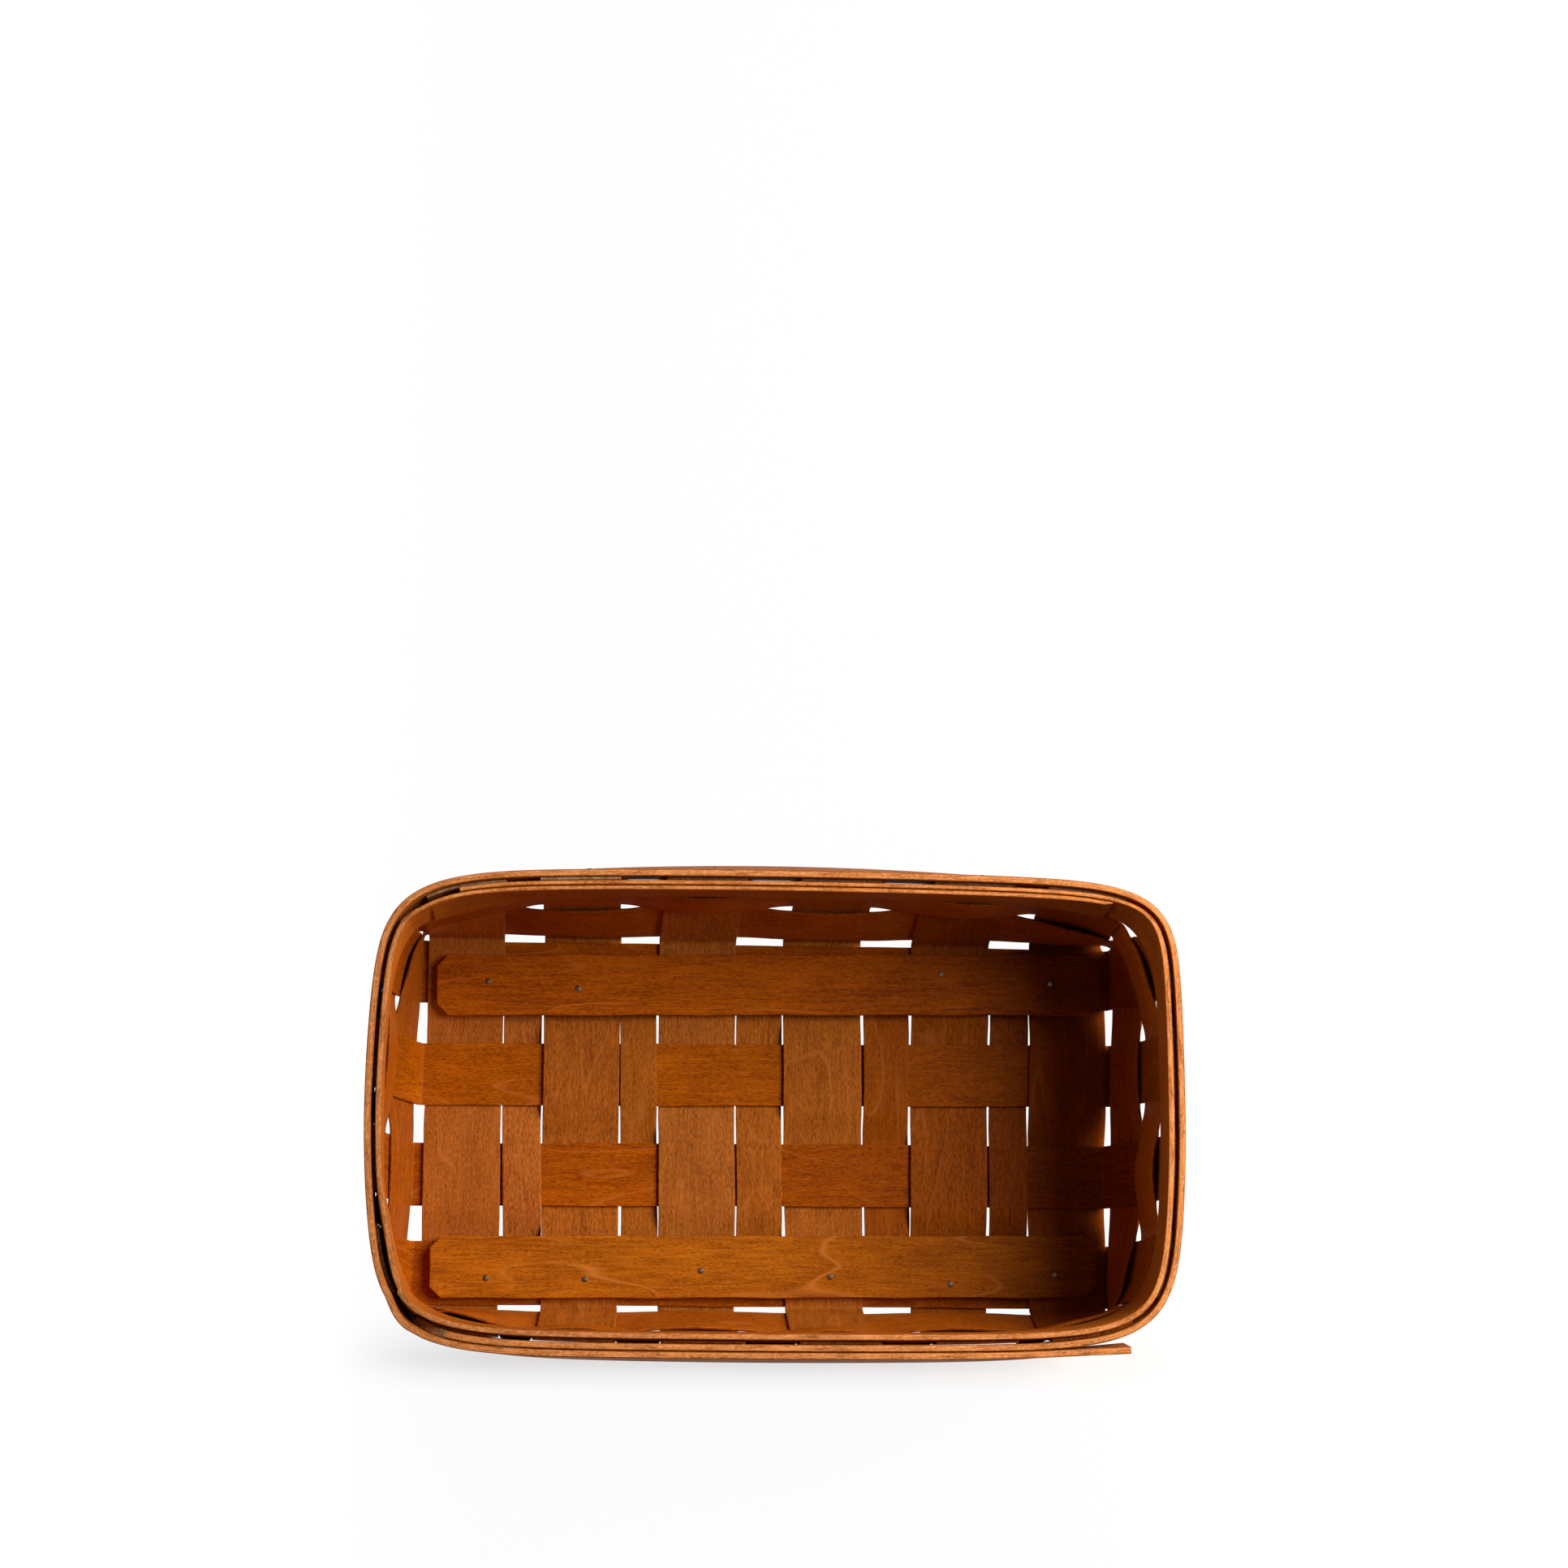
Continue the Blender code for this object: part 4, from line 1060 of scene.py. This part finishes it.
def board(side, length, x, y, skew, colour, seed):
    """A thin sawn board with clipped corners and slightly wavy, eased edges."""
    width = BOARD_W
    clip = 0.0046
    ease_r = 0.0004
    us = np.union1d(across_steps(length, 180, ease_r), (clip, length - clip))
    vs = across_steps(width, 14, ease_r)
    U, V = np.meshgrid(us, vs, indexing="ij")
    X = U - length / 2
    Y = V - width / 2
    # The clipped corners pull the outline in
    Y *= 1 - np.maximum(np.abs(X) - (length / 2 - clip), 0) / (width / 2)
    wave_low = wobble(seed, 0.05, 0.00022)(us)[:, None]
    wave_high = wobble(seed + 1, 0.06, 0.00022)(us)[:, None]
    share = V / width
    Y = Y + wave_low * (1 - share) + wave_high * share
    depth_u = np.clip(np.minimum(U, length - U) / ease_r, 0, 1)
    depth_v = np.clip(np.minimum(V, width - V) / ease_r, 0, 1)
    lift = np.sqrt((1 - (1 - depth_u) ** 2) * (1 - (1 - depth_v) ** 2))
    half = BOARD_T / 2 - ease_r * 0.8 * (1 - lift)
    middle = np.stack([X, Y, np.zeros_like(X)], -1)
    turn = np.array(Matrix.Rotation(skew, 3, "Z"))
    middle = middle @ turn.T + np.array([x, y, BOARD_Z + BOARD_T / 2])
    data = solid(f"board_{side}", middle, np.array([0, 0, 1.0]), half, U, Y + width / 2)
    face = wood(f"board_{side}_wood", colour, seed, fleck=0.9, streak=1.5, ring=1.3, rub=0.8,
                ring_rate=(7, 46), stain=BOARD_PAINTED_SHADE[side])
    edge = sawn(f"board_{side}_edge", scaled(colour, 1.1, 1.2, 1.4), seed + 2, 0.3)
    node = f"base_board_{side}"
    place(node + "_piece", data, [node], [face, face, edge, edge], "base_board")


def steel(name):
    n = Nodes(bpy.data.materials.new(name))
    coord = n.add("ShaderNodeTexCoord")
    speck = n.noise(coord.outputs["Object"], 2600, 3)
    colour = n.ramp(speck, [(0.35, linear(56, 42, 30)), (0.62, linear(116, 96, 74))])
    rough = n.total(n.times(speck, 0.3), 0.3)
    shader = n.shader(colour, rough, 0.4, speck, 0.3, 0.00005)
    shader.inputs["Metallic"].default_value = 0.5
    return n.owner


nail_steel = steel("nail_steel")

# A nail head's radii, and its heights as multiples of the touch clearance
NAIL_HEAD = [
    (0.0006, 0.4), (0.00095, 0.5), (0.00115, 1), (0.00117, 1.4), (0.00108, 2), (0.0008, 2.4),
    (0.0004, 2.63), (0, 2.67)]


def nail(kind, tail, spot, axis, depth, sink):
    """A round domed head on a shank, turned about its axis, with its head set in by the sink."""
    name = f"nail_{kind}_{tail}"
    profile = [(0, -depth), (0.0006, -depth)]
    profile += [(radius, rise * TOUCH - sink) for radius, rise in NAIL_HEAD]
    sides = 20
    verts, faces, rings = [], [], []
    for radius, height in profile:
        count = sides if radius else 1
        rings.append([len(verts) + k for k in range(count)])
        for k in range(count):
            angle = 2 * math.pi * k / sides
            verts.append((radius * math.cos(angle), radius * math.sin(angle), height))
    for lower, upper in zip(rings, rings[1:]):
        for k in range(sides):
            a, b = lower[k % len(lower)], lower[(k + 1) % len(lower)]
            c, d = upper[(k + 1) % len(upper)], upper[k % len(upper)]
            faces.append(tuple(dict.fromkeys((a, b, c, d))))
    turn = axis.to_track_quat("Z", "Y").to_matrix()
    data = bpy.data.meshes.new(name)
    data.from_pydata([tuple(turn @ Vector(v) + spot) for v in verts], [], faces)
    data.shade_smooth()
    data.set_sharp_from_angle(angle=math.radians(55))
    place(name, data, [f"{kind}_nail_{tail}"], [nail_steel], "nail")


# Each board's length, x, y, turn and nails, these as shares along and across
BACK_NAILS = [(-0.423, 0.06), (-0.289, -0.06), (0.257, 0.18), (0.423, 0.02)]
FRONT_NAILS = [(-0.416, -0.18), (-0.269, -0.2), (-0.096, -0.06), (0.098, -0.16),
               (0.279, -0.28), (0.437, -0.14)]
BOARDS = {
    "back": (2 * (XH - 0.0028), 0.0017, 0.0569, math.radians(0.75), BACK_NAILS),
    "front": (2 * (XH - 0.0043), -0.0001, -0.0580, math.radians(0.45), FRONT_NAILS),
}


def board_nails():
    for side, (length, x, y, skew, shares) in BOARDS.items():
        turn = Matrix.Rotation(skew, 3, "Z")
        for index, (along, across) in enumerate(shares):
            on_board = Vector((along * length, across * BOARD_W, BOARD_T))
            spot = turn @ on_board + Vector((x, y + PLAN_SHIFT, BOARD_Z))
            nail("board", f"{side}_{index + 1}", spot, Vector((0, 0, 1)), BOARD_T, 0.0003)


def rim_nails():
    """A nail in the outer band at each upright that its free end doesn't hide."""
    height = RIM_FOOT + 0.52
    count = 0
    for start, end in upright_groups():
        s = start + (end - start) * 0.39
        if FREE_END - 8 < s < 1:
            continue
        count += 1
        turn = s + 8 if s < 1 else s
        face = float(outer_offset(np.array([turn]))[0]) + BAND_T / 2
        face += float(outer_flare(np.array([s]))[0]) * 0.48 / 0.97
        normal = wall_normal(np.array([s]), np.array([height]), RIM_FOOT)[0]
        spot = wall(np.array([s]), np.array([height]))[0] + normal * face
        spot[1] += PLAN_SHIFT
        nail("rim", count, Vector(spot), Vector(normal), face - T / 2 - TOUCH, 0.0006)


# Make the basket
# Colours of the cross splints and fillers from left to right. The darker ones on the right are
# partly their own tone and partly painted shade, where the right wall shades the base
CROSS_TONES_AND_SHADE = [
    (170, 92, 30), (163, 86, 22), (168, 92, 30), (162, 86, 22), (146, 70, 8), (140, 62, 6)]
FILLER_TONES_AND_SHADE = [(176, 96, 34), (162, 86, 20), (166, 88, 22), (148, 70, 6), (134, 60, 5)]
LONG_TONES = [(165, 77, 3), (167, 82, 3), (164, 77, 2), (168, 80, 3)]
CROSS_LIFTS = [0, 0.0014, 0, 0, 0, 0]
CROSS_ENDS = [pale_end] * 2 + [splint_end] * 4

for number, tone in enumerate(CROSS_TONES_AND_SHADE):
    cross_splint(2 * number, linear(*tone), number + 1, CROSS_LIFTS[number], CROSS_ENDS[number])
for number, tone in enumerate(FILLER_TONES_AND_SHADE):
    filler(2 * number + 1, linear(*tone), number + 1)
for index, tone in enumerate(LONG_TONES):
    long_splint(index, linear(*tone), index + 1)
weaver("weaver_lower", FOOT, (-1, 0.0008, FOOT_GIVE, 0.3), linear(168, 83, 12), 71)
weaver("weaver_upper", UP_FOOT, (1, 0.0016, 0, 1), linear(171, 84, 9), 73)
outer_band()
inner_band()
board("back", *BOARDS["back"][:4], linear(168, 80, 4), 81)
board("front", *BOARDS["front"][:4], linear(170, 90, 10), 83)
board_nails()
rim_nails()


# Floor, light and camera
def seen_ray(n):
    """1 for the camera's rays and those that shiny or clear surfaces send on, or else 0."""
    path = n.add("ShaderNodeLightPath")
    seen = path.outputs["Is Camera Ray"]
    for kind in ("Is Glossy Ray", "Is Transmission Ray"):
        seen = n.math("MAXIMUM", seen, path.outputs[kind])
    return seen


def floor():
    """Pale paper, which looks nearly white and reflects a plain grey on the basket."""
    data = bpy.data.meshes.new("floor")
    size = 3.0
    corners = [(-size, -size, 0), (size, -size, 0), (size, size, 0), (-size, size, 0)]
    data.from_pydata(corners, [], [(0, 1, 2, 3)])
    thing = new_object("floor", data)
    thing.location.z = -0.0002
    n = Nodes(bpy.data.materials.new("floor_paper"))
    lit = n.add("ShaderNodeBsdfDiffuse")
    # The lit share's warm tint is painted light: it stands in for warm light bounced off the wood
    # into the paper's shadow
    lit.inputs["Color"].default_value = (0.95, 0.76, 0.64, 1)
    glow = n.add("ShaderNodeEmission")
    spot = n.add("ShaderNodeTexCoord")
    split = n.add("ShaderNodeSeparateXYZ")
    n.link(spot.outputs["Object"], split.inputs[0])
    # The paper glows evenly, with a little lamp light and shadow along the basket's front
    near_front = n.ramp(n.times(split.outputs[1], -5.0),
                        [(0.38, 0.03), (0.475, 0.31), (0.49, 0.27), (0.507, 0.16), (0.54, 0.04)])
    sideways = n.ramp(n.times(n.math("ABSOLUTE", split.outputs[0]), 5.0),
                      [(0.55, 1.0), (0.70, 0.7), (0.86, 0.0)])
    share = n.math("SUBTRACT", 1.0, n.times(near_front, sideways))
    both = n.add("ShaderNodeMixShader")
    n.fill(both, (share, lit.outputs[0], glow.outputs[0]))
    plain = n.add("ShaderNodeBsdfDiffuse")
    plain.inputs["Color"].default_value = (0.6, 0.6, 0.6, 1)
    pick = n.add("ShaderNodeMixShader")
    n.fill(pick, (seen_ray(n), plain.outputs[0], both.outputs[0]))
    out = n.add("ShaderNodeOutputMaterial")
    n.link(pick.outputs[0], out.inputs[0])
    data.materials.append(n.owner)


def area(name, place_at, aim, size, power):
    light = bpy.data.lights.new(name, "AREA")
    light.shape = "DISK"
    light.size = size
    light.energy = power
    thing = new_object(name, light)
    thing.location = place_at
    direction = Vector(aim) - Vector(place_at)
    thing.rotation_euler = direction.to_track_quat("-Z", "Y").to_euler()


def world():
    """White where it is seen, and a faint even light on the basket."""
    sky = bpy.data.worlds.new("studio")
    bpy.context.scene.world = sky
    n = Nodes(sky)
    background = n.add("ShaderNodeBackground")
    background.inputs["Color"].default_value = (1, 1, 1, 1)
    strength = n.add("ShaderNodeMapRange")
    strength.inputs["To Min"].default_value = 0.03
    strength.inputs["To Max"].default_value = 1.0
    n.link(seen_ray(n), strength.inputs["Value"])
    n.link(strength.outputs[0], background.inputs["Strength"])
    out = n.add("ShaderNodeOutputWorld")
    n.link(background.outputs[0], out.inputs[0])


def camera():
    data = bpy.data.cameras.new("camera")
    data.sensor_width = 36
    data.lens = 78.44
    data.clip_start = 0.01
    data.clip_end = 20
    thing = new_object("camera", data)
    thing.location = (-0.09135, -0.11818 + PLAN_SHIFT, 1.4)
    thing.rotation_euler = Euler((0.1832, -0.0711, 0.0045))
    bpy.context.scene.camera = thing


floor()
world()
camera()
area("key", (0.990, 0.390, 0.745), (0, 0, 0), 1.25, 34.5)
area("low_fill", (-1.30, -0.10, 0.16), (0, 0, 0.07), 0.3, 5)

bpy.context.scene.view_settings.view_transform = "Standard"

bpy.context.view_layer.update()
